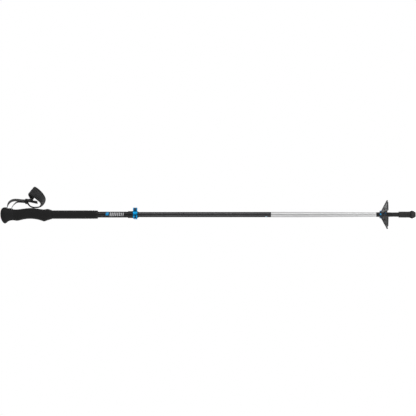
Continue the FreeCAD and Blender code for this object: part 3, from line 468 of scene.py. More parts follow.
@dataclass(frozen=True)
class Metal(Finish):
    """Machined or cast metal with fine grain and bare, brighter edges."""

    grain: float = 700.0
    metal: float = 1.0
    wear: float = 0.6

    def material(self, name: str) -> bpy.types.Material:
        """Builds the material under a name."""
        material, wiring, shader = self.started(name)
        grain = EFFECTS.placed(wiring, "moulded_grain", Grain=self.grain, Patch=120.0)
        worn = EFFECTS.placed(wiring, "edge_wear", Reach=0.1, Break=420.0)
        toned = wiring.spread(grain.outputs["Tone"], 0.3, 0.7, 0.0, 1.0)
        body = wiring.tint(toned, self.colour, self.lighter)
        edge = wiring.times(worn.outputs["Mask"], self.wear)
        wiring.feed(shader.inputs["Base Color"], wiring.tint(edge, body, (0.75, 0.77, 0.79)))
        rough = wiring.spread(grain.outputs["Tone"], 0.3, 0.7, self.roughness - 0.06, self.roughness + 0.1)
        wiring.feed(shader.inputs["Roughness"], rough)
        shader.inputs["Metallic"].default_value = self.metal
        self.bumped(wiring, shader, grain.outputs["Height"], 0.3, 0.00003)
        return material


@dataclass(frozen=True)
class Woven(Finish):
    """Woven tape or cloth, with thread shadows, faded high spots and a little fuzz."""

    pitch: float = 0.0011
    slant: float = 0.6
    depth: float = 0.0003
    fuzz: float = 0.35

    def material(self, name: str) -> bpy.types.Material:
        """Builds the material under a name."""
        material, wiring, shader = self.started(name)
        weave = EFFECTS.placed(wiring, "woven_tape", Pitch=self.pitch, Slant=self.slant)
        grain = EFFECTS.placed(wiring, "moulded_grain", Grain=2600.0, Patch=70.0)
        thread = wiring.spread(weave.outputs["Shade"], 0.0, 1.0, 0.0, 1.0)
        body = wiring.tint(thread, tuple(c * 0.4 for c in self.colour), self.colour)
        faded = wiring.times(thread, wiring.spread(grain.outputs["Tone"], 0.42, 0.66, 0.0, 1.0))
        wiring.feed(shader.inputs["Base Color"], wiring.tint(faded, body, self.lighter))
        rough = wiring.spread(weave.outputs["Height"], 0.0, 1.0, 1.0, self.roughness)
        wiring.feed(shader.inputs["Roughness"], rough)
        shader.inputs["Specular IOR Level"].default_value = 0.25
        shader.inputs["Sheen Weight"].default_value = self.fuzz
        shader.inputs["Sheen Roughness"].default_value = 0.5
        height = wiring.plus(weave.outputs["Height"], wiring.times(grain.outputs["Height"], 0.3))
        self.bumped(wiring, shader, height, 0.8, self.depth)
        return material


GREY_PRINT: Colour = (0.82, 0.83, 0.85)
BLUE_PRINT: Colour = (0.0, 0.44, 0.98)
PALE_MARK: Colour = (0.42, 0.62, 0.72)

TUBE_PRINTS = (
    Bars(0.9362, 0.9448, BLUE_PRINT, slant=0.0014, middle=0.3, half=0.56),
    Bars(0.8905, 0.9344, GREY_PRINT, pitch=0.0055, filled=0.7, slant=0.0014, middle=0.12, half=0.64,
         taper=0.25),
)
SHAFT_PRINTS = (Bars(0.4525, 0.4585, PALE_MARK, middle=-0.95, half=0.28),)


class Slot(Enum):
    """The material slots of the record, by what they finish."""

    BLACK_TUBE = "black_tube"
    DARK_TUBE = "dark_tube"
    SILVER_TUBE = "silver_tube"
    GRIP_FOAM = "grip_foam"
    GRIP_SHELL = "grip_shell"
    BLACK_RUBBER = "black_rubber"
    BLACK_PLASTIC = "black_plastic"
    NATURAL_PLASTIC = "natural_plastic"
    BASKET_PLASTIC = "basket_plastic"
    BLUE_METAL = "blue_metal"
    BLUE_PLASTIC = "blue_plastic"
    STEEL = "steel"
    CARBIDE = "carbide"
    WEBBING = "webbing"
    BAND_FABRIC = "band_fabric"
    LINING_FABRIC = "lining_fabric"


FINISHES: dict[Slot, Finish] = {
    Slot.BLACK_TUBE: Tube((0.013, 0.013, 0.0135), (0.024, 0.024, 0.0245), 0.38, metal=0.2,
                          prints=TUBE_PRINTS),
    Slot.DARK_TUBE: Tube((0.06, 0.06, 0.062), (0.09, 0.09, 0.093), 0.34, metal=0.75, prints=SHAFT_PRINTS),
    Slot.SILVER_TUBE: Tube((0.84, 0.84, 0.84), (0.93, 0.93, 0.93), 0.5, scratch=(0.98, 0.98, 0.98)),
    Slot.GRIP_FOAM: Foam((0.02, 0.02, 0.02), (0.034, 0.034, 0.034), 0.9),
    Slot.GRIP_SHELL: Moulded((0.011, 0.011, 0.0115), (0.02, 0.02, 0.0205), 0.66, grain=1300.0, wear=0.3),
    Slot.BLACK_RUBBER: Moulded((0.009, 0.009, 0.0092), (0.016, 0.016, 0.0165), 0.64, grain=700.0,
                               wear=0.3, dust=0.05),
    Slot.BLACK_PLASTIC: Moulded((0.011, 0.011, 0.0115), (0.019, 0.019, 0.0195), 0.44, grain=1000.0,
                                wear=0.4),
    Slot.NATURAL_PLASTIC: Moulded((0.7, 0.68, 0.6), (0.8, 0.78, 0.7), 0.45),
    Slot.BASKET_PLASTIC: Moulded((0.019, 0.019, 0.0195), (0.06, 0.06, 0.062), 0.42, grain=500.0,
                                 wear=0.45, dust=0.04),
    Slot.BLUE_METAL: Metal((0.0, 0.38, 0.84), (0.0, 0.43, 0.9), 0.38, metal=0.7, wear=0.0),
    Slot.BLUE_PLASTIC: Moulded((0.0, 0.36, 0.8), (0.0, 0.42, 0.86), 0.45, wear=0.1),
    Slot.STEEL: Metal((0.1, 0.105, 0.115), (0.16, 0.165, 0.175), 0.36, wear=0.25),
    Slot.CARBIDE: Metal((0.2, 0.2, 0.21), (0.3, 0.3, 0.31), 0.38, grain=1500.0),
    Slot.WEBBING: Woven((0.024, 0.024, 0.025), (0.075, 0.075, 0.078), 0.78, pitch=0.0011),
    Slot.BAND_FABRIC: Woven((0.03, 0.03, 0.031), (0.095, 0.095, 0.097), 0.84, pitch=0.0016, slant=0.0,
                            depth=0.0004),
    Slot.LINING_FABRIC: Woven((0.018, 0.018, 0.0185), (0.05, 0.05, 0.052), 0.95, pitch=0.0007, slant=0.0),
}


class PaintBox:
    """Hands out one material per slot, built when it is first asked for."""

    def __init__(self) -> None:
        """Starts with nothing mixed."""
        self._mixed: dict[Slot, bpy.types.Material] = {}

    def material(self, slot: Slot) -> bpy.types.Material:
        """The slot's material."""
        if slot not in self._mixed:
            self._mixed[slot] = FINISHES[slot].material(slot.value)
        return self._mixed[slot]

    def dress(self, nodes: dict[str, Slot]) -> None:
        """Gives the CAD nodes that stay their finishes.

        Args:
            nodes: Node names and the slots that finish them.
        """
        for name, slot in nodes.items():
            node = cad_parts[name]
            for holder in node.material_slots:
                holder.material = self.material(slot)
            if not node.material_slots:
                node.data.materials.append(self.material(slot))
            log.info("dressed %s as %s", name, slot.value)


# ---------------------------------------------------------------- meshes


class Shell:
    """Collects skins of points into one mesh whose map is in metres."""

    CREASE = math.radians(38)

    def __init__(self, name: str) -> None:
        """Starts an empty mesh for a piece of that name."""
        self.name = name
        self.mesh = bmesh.new()
        self.map = self.mesh.loops.layers.uv.new(TAPE_MAP)

    def skin(
        self, rows: Sequence[Sequence[Vector]], closed: bool = True, looped: bool = False, capped: bool = True
    ) -> None:
        """Joins rows of points into a skin.

        Args:
            rows: Rows with equal counts of points, in order along the piece.
            closed: Whether each row is a ring.
            looped: Whether the last row joins the first.
            capped: Whether the first and last rings are filled.
        """
        count = len(rows[0])
        made = [[self.mesh.verts.new(point) for point in row] for row in rows]
        run = [0.0]
        for before, after in zip(rows, rows[1:]):
            run.append(run[-1] + (Vector(after[0]) - Vector(before[0])).length)
        steps = len(rows) if looped else len(rows) - 1
        turns = count if closed else count - 1
        around = [0.0]
        for i in range(count):
            around.append(around[-1] + (Vector(rows[0][(i + 1) % count]) - Vector(rows[0][i])).length)
        for j in range(steps):
            following = (j + 1) % len(rows)
            for i in range(turns):
                beside = (i + 1) % count
                corners = (made[j][i], made[j][beside], made[following][beside], made[following][i])
                face = self.mesh.faces.new(corners)
                places = ((i, j), (i + 1, j), (i + 1, j + 1), (i, j + 1))
                for loop, (u, v) in zip(face.loops, places):
                    loop[self.map].uv = (around[u], run[min(v, len(run) - 1)])
        if capped and closed and not looped:
            for ring in (made[0], made[-1]):
                self.fill(ring)

    def fill(self, ring: Sequence[bmesh.types.BMVert]) -> None:
        """Closes a ring with a fan about its middle."""
        middle = self.mesh.verts.new(sum((v.co for v in ring), Vector()) / len(ring))
        for i, vertex in enumerate(ring):
            self.mesh.faces.new((vertex, ring[(i + 1) % len(ring)], middle))

    def turned(self, profile: Sequence[tuple[float, float]], count: int, at: Matrix = Matrix()) -> None:
        """Spins an outline of (radius, height) points into a solid.

        Args:
            profile: A closed outline, or one whose first and last radii are zero.
            count: Points round the axis.
            at: Where the turned piece stands; its own axis is Z.
        """
        pointed = profile[0][0] == 0 and profile[-1][0] == 0
        inner = profile[1:-1] if pointed else profile
        rows = []
        for radius, height in inner:
            rows.append([at @ around_z(radius, 2 * math.pi * i / count, height) for i in range(count)])
        if not pointed:
            self.skin(rows, looped=True)
            return
        first = len(self.mesh.verts)
        self.skin(rows, capped=False)
        self.mesh.verts.ensure_lookup_table()
        for ring_start, height in ((first, profile[0][1]), (len(self.mesh.verts) - count, profile[-1][1])):
            ring = [self.mesh.verts[ring_start + i] for i in range(count)]
            pole = self.mesh.verts.new(at @ Vector((0, 0, height)))
            for i in range(count):
                self.mesh.faces.new((ring[i], ring[(i + 1) % count], pole))
            self.mesh.verts.ensure_lookup_table()

    def finished(self, slot: Slot, paint: PaintBox) -> bpy.types.Object:
        """Turns the mesh into a smooth-shaded object with hard creases.

        Args:
            slot: The slot that finishes it.
            paint: Where its material comes from.

        Returns:
            The new object, linked to the scene.
        """
        bmesh.ops.recalc_face_normals(self.mesh, faces=self.mesh.faces)
        for face in self.mesh.faces:
            face.smooth = True
        for edge in self.mesh.edges:
            edge.smooth = edge.calc_face_angle(0.0) < self.CREASE
        data = bpy.data.meshes.new(self.name)
        self.mesh.to_mesh(data)
        self.mesh.free()
        data.materials.append(paint.material(slot))
        piece = bpy.data.objects.new(self.name, data)
        bpy.context.scene.collection.objects.link(piece)
        return piece


def around_z(radius: float, angle: float, height: float) -> Vector:
    """A point at a radius and an angle from +X, in radians, about Z."""
    return Vector((radius * math.cos(angle), radius * math.sin(angle), height))


def rounded(corners: Sequence[Corner], closed: bool = True, steps: int = 5) -> list[tuple[float, float]]:
    """Rounds the corners of an outline.

    Args:
        corners: (across, up, how far the rounding starts from the corner) for each corner.
        closed: Whether the last corner joins the first.
        steps: Points in each rounding.

    Returns:
        The outline's points.
    """
    made: list[tuple[float, float]] = []
    count = len(corners)
    for i, (across, up, reach) in enumerate(corners):
        here = Vector((across, up))
        is_end = not closed and i in (0, count - 1)
        if reach <= 0 or is_end:
            made.append((across, up))
            continue
        sides = []
        for other in (corners[i - 1], corners[(i + 1) % count]):
            way = Vector(other[:2]) - here
            sides.append(here + way.normalized() * min(reach, way.length * 0.48))
        for step in range(steps):
            t = step / (steps - 1)
            point = sides[0] * (1 - t) ** 2 + here * (2 * t * (1 - t)) + sides[1] * t * t
            made.append((point.x, point.y))
    return made


def rectangle(half_across: float, half_up: float, reach: float) -> list[Corner]:
    """The corners of a rectangle about zero, each rounded by the same reach."""
    return [(-half_across, -half_up, reach), (half_across, -half_up, reach),
            (half_across, half_up, reach), (-half_across, half_up, reach)]


def groove(radius: float, low: float, half: float, depth: float, lip: float, root: float) -> list[Corner]:
    """The corners of a groove turned into a round piece.

    Args:
        radius: The piece's radius.
        low: The groove's lower lip.
        half: Half the groove's width.
        depth: How deep its root is.
        lip: The rounding of its lips.
        root: The rounding of its root.

    Returns:
        Lower lip, root and upper lip.
    """
    return [(radius, low, lip), (radius - depth, low + half, root), (radius, low + 2 * half, lip)]


def eased(points: Sequence[Vector], steps: int) -> list[Vector]:
    """A smooth line through given points, as a Catmull-Rom spline.

    Args:
        points: The points that the line passes through.
        steps: New points in each span.

    Returns:
        The line's points, the last one included.
    """
    last = len(points) - 1
    made = []
    for i in range(last):
        before, start = points[max(i - 1, 0)], points[i]
        end, after = points[i + 1], points[min(i + 2, last)]
        for step in range(steps):
            t = step / steps
            made.append(0.5 * (
                2 * start + (end - before) * t + (2 * before - 5 * start + 4 * end - after) * t * t
                + (3 * start - before - 3 * end + after) * t ** 3
            ))
    made.append(points[last].copy())
    return made


def soft_step(value: float, low: float, high: float) -> float:
    """Rises smoothly from 0 at low to 1 at high."""
    t = min(1.0, max(0.0, (value - low) / (high - low)))
    return t * t * (3 - 2 * t)


@dataclass(frozen=True)
class TapeSection:
    """The cross-section of a strap: thickness, how square its edges are, and its padding."""

    thickness: float
    square: float = 5.0
    crown: float = 0.0
    channel: float = 0.0
    channel_at: float = 0.8
    points: int = 28

    def outline(self) -> list[tuple[float, float]]:
        """The section as (share across from -1 to 1, rise in metres) points."""
        made = []
        for i in range(self.points):
            angle = 2 * math.pi * i / self.points
            across = math.copysign(abs(math.cos(angle)) ** (2 / self.square), math.cos(angle))
            rise = math.copysign(abs(math.sin(angle)) ** (2 / self.square), math.sin(angle))
            height = self.thickness / 2 + self.crown * (1 - across * across)
            dip = self.channel * math.exp(-(((abs(across) - self.channel_at) / 0.05) ** 2))
            made.append((across, rise * (height - dip)))
        return made


class Lay:
    """A strap's path: smooth edges through given stations, with its rise at every step."""

    def __init__(self, stations: Sequence[Station], steps: int) -> None:
        """Eases both edges of the stations, given in metres."""
        self.near = eased([Vector(near) for near, _ in stations], steps)
        self.far = eased([Vector(far) for _, far in stations], steps)
        self.rise: list[Vector] = []
        last = len(self.near) - 1
        for i in range(last + 1):
            before, after = max(i - 1, 0), min(i + 1, last)
            along = self.near[after] + self.far[after] - self.near[before] - self.far[before]
            self.rise.append(along.cross(self.far[i] - self.near[i]).normalized())

    def at(self, i: int, across: float, rise: float) -> Vector:
        """A point on the strap at a step, across from -1 to 1 and off its middle by a rise."""
        share = (across + 1) / 2
        return self.near[i].lerp(self.far[i], share) + self.rise[i] * rise

    def skin(
        self, shell: Shell, section: TapeSection, low: float = -1.0, high: float = 1.0, lift: float = 0.0
    ) -> None:
        """Skins the strap, or a strip of it between two shares across, into a shell."""
        middle, half = (low + high) / 2, (high - low) / 2
        outline = section.outline()
        rows = [
            [self.at(i, middle + half * across, rise + lift) for across, rise in outline]
            for i in range(len(self.near))
        ]
        shell.skin(rows)


def metres(stations: Sequence[Station]) -> list[Station]:
    """Stations given in millimetres, in metres."""
    return [tuple(tuple(c * MM for c in edge) for edge in station) for station in stations]


def stitched(shell: Shell, line: Sequence[Vector], rises: Sequence[Vector], thread: "Thread") -> None:
    """Lays a row of stitches along a line into a shell.

    Args:
        shell: Where the stitches go.
        line: Points along the seam.
        rises: The way off the cloth at each point.
        thread: The stitches' sizes.
    """
    runs = [0.0]
    for before, after in zip(line, line[1:]):
        runs.append(runs[-1] + (after - before).length)
    start = thread.pitch
    while start + thread.length < runs[-1]:
        rows = []
        for k in range(thread.STEPS + 1):
            share = k / thread.STEPS
            point, rise, along = walked(line, rises, runs, start + thread.length * share)
            belly = math.sin(math.pi * share)
            middle = point + rise * (thread.radius * (1.3 * belly - 0.8))
            side = along.cross(rise).normalized()
            girth = thread.radius * (0.45 + 0.55 * belly)
            ring = []
            for i in range(thread.SIDES):
                angle = 2 * math.pi * i / thread.SIDES
                ring.append(middle + side * (girth * math.cos(angle)) + rise * (girth * math.sin(angle)))
            rows.append(ring)
        shell.skin(rows)
        start += thread.pitch


def walked(
    line: Sequence[Vector], rises: Sequence[Vector], runs: Sequence[float], at: float
) -> tuple[Vector, Vector, Vector]:
    """The point, the way off the cloth and the way along at a distance down a seam."""
    i = next(k for k in range(1, len(runs)) if runs[k] >= at or k == len(runs) - 1)
    share = (at - runs[i - 1]) / max(runs[i] - runs[i - 1], 1e-9)
    along = (line[i] - line[i - 1]).normalized()
    return line[i - 1].lerp(line[i], share), rises[i - 1].lerp(rises[i], share).normalized(), along


@dataclass(frozen=True)
class Thread:
    """Sewing thread: stitch length, spacing and thickness."""

    length: float = 2.2 * MM
    pitch: float = 3.0 * MM
    radius: float = 0.22 * MM
    STEPS = 4
    SIDES = 6


def carved(piece: bpy.types.Object, cutters: Iterable[bpy.types.Object]) -> None:
    """Cuts closed cutters from a piece, then removes them."""
    cutters = list(cutters)
    for cutter in cutters:
        cut = piece.modifiers.new("cut", "BOOLEAN")
        cut.operation = "DIFFERENCE"
        cut.solver = "EXACT"
        cut.object = cutter
    graph = bpy.context.evaluated_depsgraph_get()
    made = bpy.data.meshes.new_from_object(piece.evaluated_get(graph))
    piece.modifiers.clear()
    piece.data = made
    for cutter in cutters:
        bpy.data.objects.remove(cutter)


def broken_edges(node: str, width: float, segments: int = 3) -> None:
    """Breaks the sharp edges of a CAD node with a small round.

    Args:
        node: The node's name.
        width: How far the round reaches from an edge.
        segments: Steps in the round.
    """
    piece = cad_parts[node]
    weld = piece.modifiers.new("weld", "WELD")
    weld.merge_threshold = 0.002 * MM
    flat = piece.modifiers.new("flat", "DECIMATE")
    flat.decimate_type = "DISSOLVE"
    flat.angle_limit = math.radians(1.2)
    bevel = piece.modifiers.new("edges", "BEVEL")
    bevel.width, bevel.segments = width, segments
    bevel.limit_method = "ANGLE"
    bevel.angle_limit = math.radians(34)
    bevel.use_clamp_overlap = True
    bevel.miter_outer = "MITER_ARC"
    smooth = piece.modifiers.new("smooth", "WEIGHTED_NORMAL")
    smooth.keep_sharp = True
    log.info("broke the edges of %s by %.2f mm", node, width / MM)


def on_body(piece: bpy.types.Object, body: str, *nodes: str) -> bpy.types.Object:
    """Rides a piece on a body and lets it stand for CAD nodes."""
    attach(piece, body)
    if nodes:
        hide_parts(*nodes)
    log.info("built %s on %s with %d faces", piece.name, body, len(piece.data.polygons))
    return piece


# ---------------------------------------------------------------- rubber foot and tip


@dataclass
class TipEnd:
    """Rubber foot with its bulb and tread, and the flex tip above it."""

    sole_radius: float = 7.2 * MM
    bulb_radius: float = 12.3 * MM
    bulb_low: float = 9.4 * MM
    bulb_high: float = 13.8 * MM
    neck_height: float = 18.4 * MM
    foot_radius: float = 9.1 * MM
    foot_height: float = 52 * MM
    socket_radius: float = 6.68 * MM
    socket_floor: float = 24 * MM
    cavity_radius: float = 4.4 * MM
    disc_top: float = 5.1 * MM
    tread_depth: float = 1.1 * MM
    tread_count: int = 9
    flex_radius: float = 6.6 * MM
    hub_radius: float = 6.9 * MM
    flex_bottom: float = 31 * MM
    shoulder: float = 76 * MM
    flex_top: float = 110 * MM
    holder_radius: float = 3.2 * MM
    holder_top: float = 62 * MM
    stem_radius: float = 5.4 * MM
    stem_top: float = 134 * MM
    sleeve_rings: tuple[float, ...] = (26 * MM, 46.5 * MM)
    ring_depth: float = 0.35 * MM
    flex_grooves: int = 3
    flex_groove_pitch: float = 3.2 * MM
    collar_grooves: int = 3
    collar_groove_pitch: float = 2.3 * MM
    collar_bore: float = 6.4 * MM

    def foot(self, paint: PaintBox) -> bpy.types.Object:
        """The rubber foot: tread blocks under the sole, rounded bulb, ringed sleeve."""
        shell = Shell("rubber_foot")
        sunk = self.foot_radius - self.ring_depth
        outline = [
            (self.cavity_radius, self.disc_top, 0), (self.cavity_radius - 2 * MM, 3.6 * MM, 0),
            (self.sole_radius * 0.45, self.tread_depth, 0.4 * MM),
            (self.sole_radius + 0.4 * MM, self.tread_depth, 0.3 * MM),
            (self.sole_radius + 1.3 * MM, 1.9 * MM, 0.8 * MM),
            (self.bulb_radius, self.bulb_low, 2.6 * MM), (self.bulb_radius, self.bulb_high, 1.6 * MM),
            (self.foot_radius + 0.1 * MM, self.neck_height, 1.3 * MM),
        ]
        for low in self.sleeve_rings:
            outline += [
                (self.foot_radius, low, 0.4 * MM), (sunk, low + 0.5 * MM, 0.3 * MM),
                (sunk, low + 1.3 * MM, 0.3 * MM), (self.foot_radius, low + 1.8 * MM, 0.4 * MM),
            ]
        outline += [
            (self.foot_radius, self.foot_height, 1 * MM), (self.socket_radius, self.foot_height, 0.5 * MM),
            (self.socket_radius, self.socket_floor, 0), (self.cavity_radius, self.socket_floor, 0),
        ]
        shell.turned(rounded(outline), 96)
        self._tread(shell)
        return on_body(shell.finished(Slot.BLACK_RUBBER, paint), "foot_cap", "tip_cap")

    def _tread(self, shell: Shell) -> None:
        """Blocks of tread round the sole, and a middle pad, whose flat ends are the ground face."""
        top = self.tread_depth + 0.3 * MM
        half = math.pi / self.tread_count * 0.62
        for k in range(self.tread_count):
            middle = 2 * math.pi * k / self.tread_count
            rows = []
            for inset, height in ((0.35 * MM, 0.0), (0.0, 0.35 * MM), (-0.1 * MM, top)):
                inner, outer = self.sole_radius * 0.5 + inset, self.sole_radius - inset
                ring = []
                for radius, way in ((inner, 1), (outer, -1)):
                    span = half - inset / radius
                    ring += [around_z(radius, middle + way * span * (1 - i / 3), height) for i in range(7)]
                rows.append(ring)
            shell.skin(rows)
        pad = [(0, 0, 0), (2.3 * MM, 0, 0.4 * MM), (2.7 * MM, top, 0), (0, top, 0)]
        shell.turned(rounded(pad, closed=False), 40)

    def flex_tip(self, paint: PaintBox) -> bpy.types.Object:
        """The flexible tip, ribbed where the foot grips it and stepped under the basket."""
        shell = Shell("flexible_tip")
        outline = [
            (self.holder_radius, self.flex_bottom, 0), (self.flex_radius, self.flex_bottom, 1.6 * MM),
            (self.flex_radius, self.shoulder - 12 * MM, 0),
        ]
        for k in range(self.flex_grooves):
            low = self.shoulder - 11 * MM + k * self.flex_groove_pitch
            outline += groove(self.flex_radius, low, 0.7 * MM, 0.45 * MM, 0.3 * MM, 0.4 * MM)
        outline += [
            (self.flex_radius, self.shoulder, 0.6 * MM),
            (self.hub_radius, self.shoulder + 3 * MM, 0.6 * MM),
            (self.hub_radius, self.flex_top, 0.2 * MM), (self.stem_radius, self.flex_top, 0),
            (self.stem_radius, self.stem_top, 0.5 * MM), (0, self.stem_top, 0),
        ]
        socket = [(0, self.holder_top, 0), (self.holder_radius, self.holder_top, 0)]
        shell.turned(rounded(socket + outline, closed=False), 80)
        return on_body(shell.finished(Slot.BLACK_RUBBER, paint), "lower_shaft", "flex_tip")

    def collar(self, paint: PaintBox) -> bpy.types.Object:
        """The collar over the silver tube's end, with three turned rings."""
        shell = Shell("tip_sleeve")
        low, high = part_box("tip_collar")
        radius = high.x
        outline = [(self.collar_bore, low.z, 0), (radius, low.z, 0.5 * MM)]
        for k in range(1, self.collar_grooves + 1):
            rise = low.z + k * self.collar_groove_pitch
            outline += groove(radius, rise, 0.4 * MM, 0.3 * MM, 0.2 * MM, 0.25 * MM)
        outline += [(radius, high.z, 0.6 * MM), (self.collar_bore, high.z, 0)]
        shell.turned(rounded(outline), 80)
        return on_body(shell.finished(Slot.BLACK_PLASTIC, paint), "lower_shaft", "tip_collar")


# ---------------------------------------------------------------- snow basket


@dataclass
class SnowBasket:
    """Five-armed umbrella over a coloured core whose domed studs fill the hub's windows."""

    arms: int = 5
    turn: float = 5.0
    rim_radius: float = 43.8 * MM
    rim_top: float = 88.3 * MM
    shoulder_radius: float = 10.88 * MM
    shoulder_height: float = 105.6 * MM
    skin: float = 2.2 * MM
    notch_inner: float = 15 * MM
    notch_inner_half: float = 3.2 * MM
    notch_outer: float = 47.8 * MM
    notch_outer_half: float = 10 * MM
    window_at: float = 27 * MM
    window_radius: float = 3.1 * MM
    bore: float = 6.98 * MM
    core_radius: float = 8.58 * MM
    hub_radius: float = 10.48 * MM
    stud_radius: float = 3.4 * MM
    stud_reach: float = 12.2 * MM
    stud_height: float = 106 * MM
    stud_base: float = 8 * MM
    arm_root: float = 12.6 * MM
    lobe: float = 2.6 * MM
    rib_start: float = 14.2 * MM
    rib_run: float = 27 * MM
    rib_turn: float = 13.5
    hub_low: float = 97 * MM
    hub_top: float = 109.9 * MM
    core_low: float = 90 * MM
    core_top: float = 110 * MM
    flange_radius: float = 12.5 * MM
    flange_low: float = 92 * MM
    flange_high: float = 95 * MM
    skirt_inner: float = 12.75 * MM
    skirt_outer: float = 13.6 * MM
    skirt_window: float = 8.0
    skirt_turn: float = 17.0

    def cone(self, radius: float) -> float:
        """The height of the umbrella's upper face at a radius."""
        share = (radius - self.shoulder_radius) / (self.rim_radius - self.shoulder_radius)
        return self.shoulder_height + (self.rim_top - self.shoulder_height) * share

    def notch_half(self, radius: float) -> float:
        """The half width of a notch between two arms at a radius."""
        share = max(0.0, (radius - self.notch_inner) / (self.notch_outer - self.notch_inner))
        return self.notch_inner_half + (self.notch_outer_half - self.notch_inner_half) * share

    def _arm_edge(self) -> list[Vector]:
        """An arm's outline seen from above, its middle along +X, with rounded outer corners."""
        inner = self.arm_root
        corners: list[Corner] = []
        span = math.pi / self.arms

        def side(radius: float) -> float:
            """The angle from an arm's middle to its side at a radius."""
            return span - math.asin(self.notch_half(radius) / radius)

        for i in range(13):
            angle = side(self.rim_radius) * (i / 6 - 1)
            reach = self.lobe if i in (0, 12) else 0.0
            corners.append((self.rim_radius * math.cos(angle), self.rim_radius * math.sin(angle), reach))
        radii = [self.rim_radius - (self.rim_radius - inner) * k / 8 for k in range(1, 8)]
        corners += [(r * math.cos(side(r)), r * math.sin(side(r)), 0.0) for r in radii]
        for i in range(5):
            angle = side(inner) * (1 - i / 2)
            corners.append((inner * math.cos(angle), inner * math.sin(angle), 0.0))
        corners += [(r * math.cos(side(r)), -r * math.sin(side(r)), 0.0) for r in reversed(radii)]
        return [Vector((x, y, 0)) for x, y in rounded(corners, steps=6)]

    def _arm(self, shell: Shell, middle: float) -> None:
        """One arm: a dished panel inside a raised border, a bossed window and a lip below."""
        centre = Vector((self.window_at, 0, 0))
        spokes = self._arm_edge()
        turn = Matrix.Rotation(middle, 3, "Z")
        edge_steps = (2.6, 2.1, 1.0, 0.45, 0.12, 0.0)
        hole_steps = (0.0, 0.12, 0.4, 1.2, 1.6)

        def ring(
            upper: bool, from_hole: float | None = None, from_edge: float | None = None, share: float = 0.0
        ) -> list[Vector]:
            """A ring between window and edge, on the upper or lower face.

            Args:
                upper: Whether it is on the upper face.
                from_hole: Its distance from the window in millimetres, if that is what places it.
                from_edge: Its distance from the edge in millimetres, if that is what places it.
                share: Else, how far across the dished panel it is, from 0 to 1.

            Returns:
                The ring's points.
            """
            points = []
            for corner in spokes:
                way = (corner - centre).normalized()
                start = centre + way * self.window_radius
                length = (corner - start).length
                if from_hole is not None:
                    gone = from_hole * MM
                elif from_edge is not None:
                    gone = length - from_edge * MM
                else:
                    gone = 1.6 * MM + (length - 4.2 * MM) * share
                at = start + way * gone
                points.append(turn @ self._arm_point(at, gone, length - gone, upper))
            return points

        top = [ring(True, from_hole=s) for s in hole_steps]
        top += [ring(True, share=k / 4) for k in (1, 2, 3)]
        top += [ring(True, from_edge=s) for s in edge_steps]
        below = [ring(False, from_edge=s) for s in reversed(edge_steps)]
        below += [ring(False, share=k / 4) for k in (3, 2, 1)]
        below += [ring(False, from_hole=s) for s in reversed(hole_steps)]
        shell.skin(top + below, looped=True)

    def _arm_point(self, at: Vector, from_hole: float, from_edge: float, upper: bool) -> Vector:
        """Lifts a point of an arm to its upper or lower face."""
        radius = at.length
        height = self.cone(radius)
        edge_round = 0.4 * MM * (1 - soft_step(min(from_hole, from_edge), 0.0, 0.45 * MM))
        dish = soft_step(from_edge, 2.1 * MM, 2.6 * MM) * soft_step(from_hole, 1.2 * MM, 1.6 * MM)
        if upper:
            return Vector((at.x, at.y, height - edge_round - 0.75 * MM * dish))
        lip = 1.7 * MM * soft_step(radius, self.rim_radius - 1.4 * MM, self.rim_radius - 1.0 * MM)
        border = 0.5 * MM * (1 - dish)
        return Vector((at.x, at.y, height - self.skin - lip - border + edge_round))

    def _ribs(self, shell: Shell, middle: float) -> None:
        """Two stiffening ribs under an arm, running out from the shoulder."""
        for way in (-1, 1):
            rows = []
            for k in range(9):
                radius = self.rib_start + self.rib_run * k / 8
                angle = middle + way * math.radians(self.rib_turn)
                depth = (2.4 - 1.5 * k / 8) * MM
                base = self.cone(radius) - self.skin + 0.4 * MM
                side = Vector((-math.sin(angle), math.cos(angle), 0)) * 0.55 * MM
                foot = around_z(radius, angle, base - depth)
                head = around_z(radius, angle, base)
                taper = side * 0.6
                rows.append([head - side, head + side, foot + taper, foot - taper])
            shell.skin(rows)

    def cage(self, paint: PaintBox) -> bpy.types.Object:
        """The hub, its shoulder and the five arms."""
        shell = Shell("basket_umbrella")
        step = math.radians(360 / self.arms)
        first = math.radians(self.turn - 90) + step / 2
        for k in range(self.arms):
            self._arm(shell, first + k * step)
            self._ribs(shell, first + k * step)
        shelf = self.notch_inner
        proud = 0.3 * MM
        outline = [
            (self.core_radius, self.hub_low, 0), (self.hub_radius, self.hub_low, 0.6 * MM),
            (self.hub_radius, self.cone(self.hub_radius) - 2.6 * MM, 0.8 * MM),
            (shelf, self.cone(shelf) - self.skin - 0.4 * MM, 0.6 * MM),
            (shelf, self.cone(shelf) + proud, 0.6 * MM),
            (self.shoulder_radius, self.shoulder_height + proud, 0.8 * MM),
            (self.shoulder_radius - 0.2 * MM, self.hub_top, 0.7 * MM),
            (self.core_radius, self.hub_top, 0.3 * MM),
        ]
        shell.turned(rounded(outline), 100)
        for k in range(self.arms):
            self._eyelet(shell, math.radians(self.turn - 90) + k * step)
        self._skirt(shell)
        return on_body(shell.finished(Slot.BASKET_PLASTIC, paint), "snow_basket", "basket_cage")

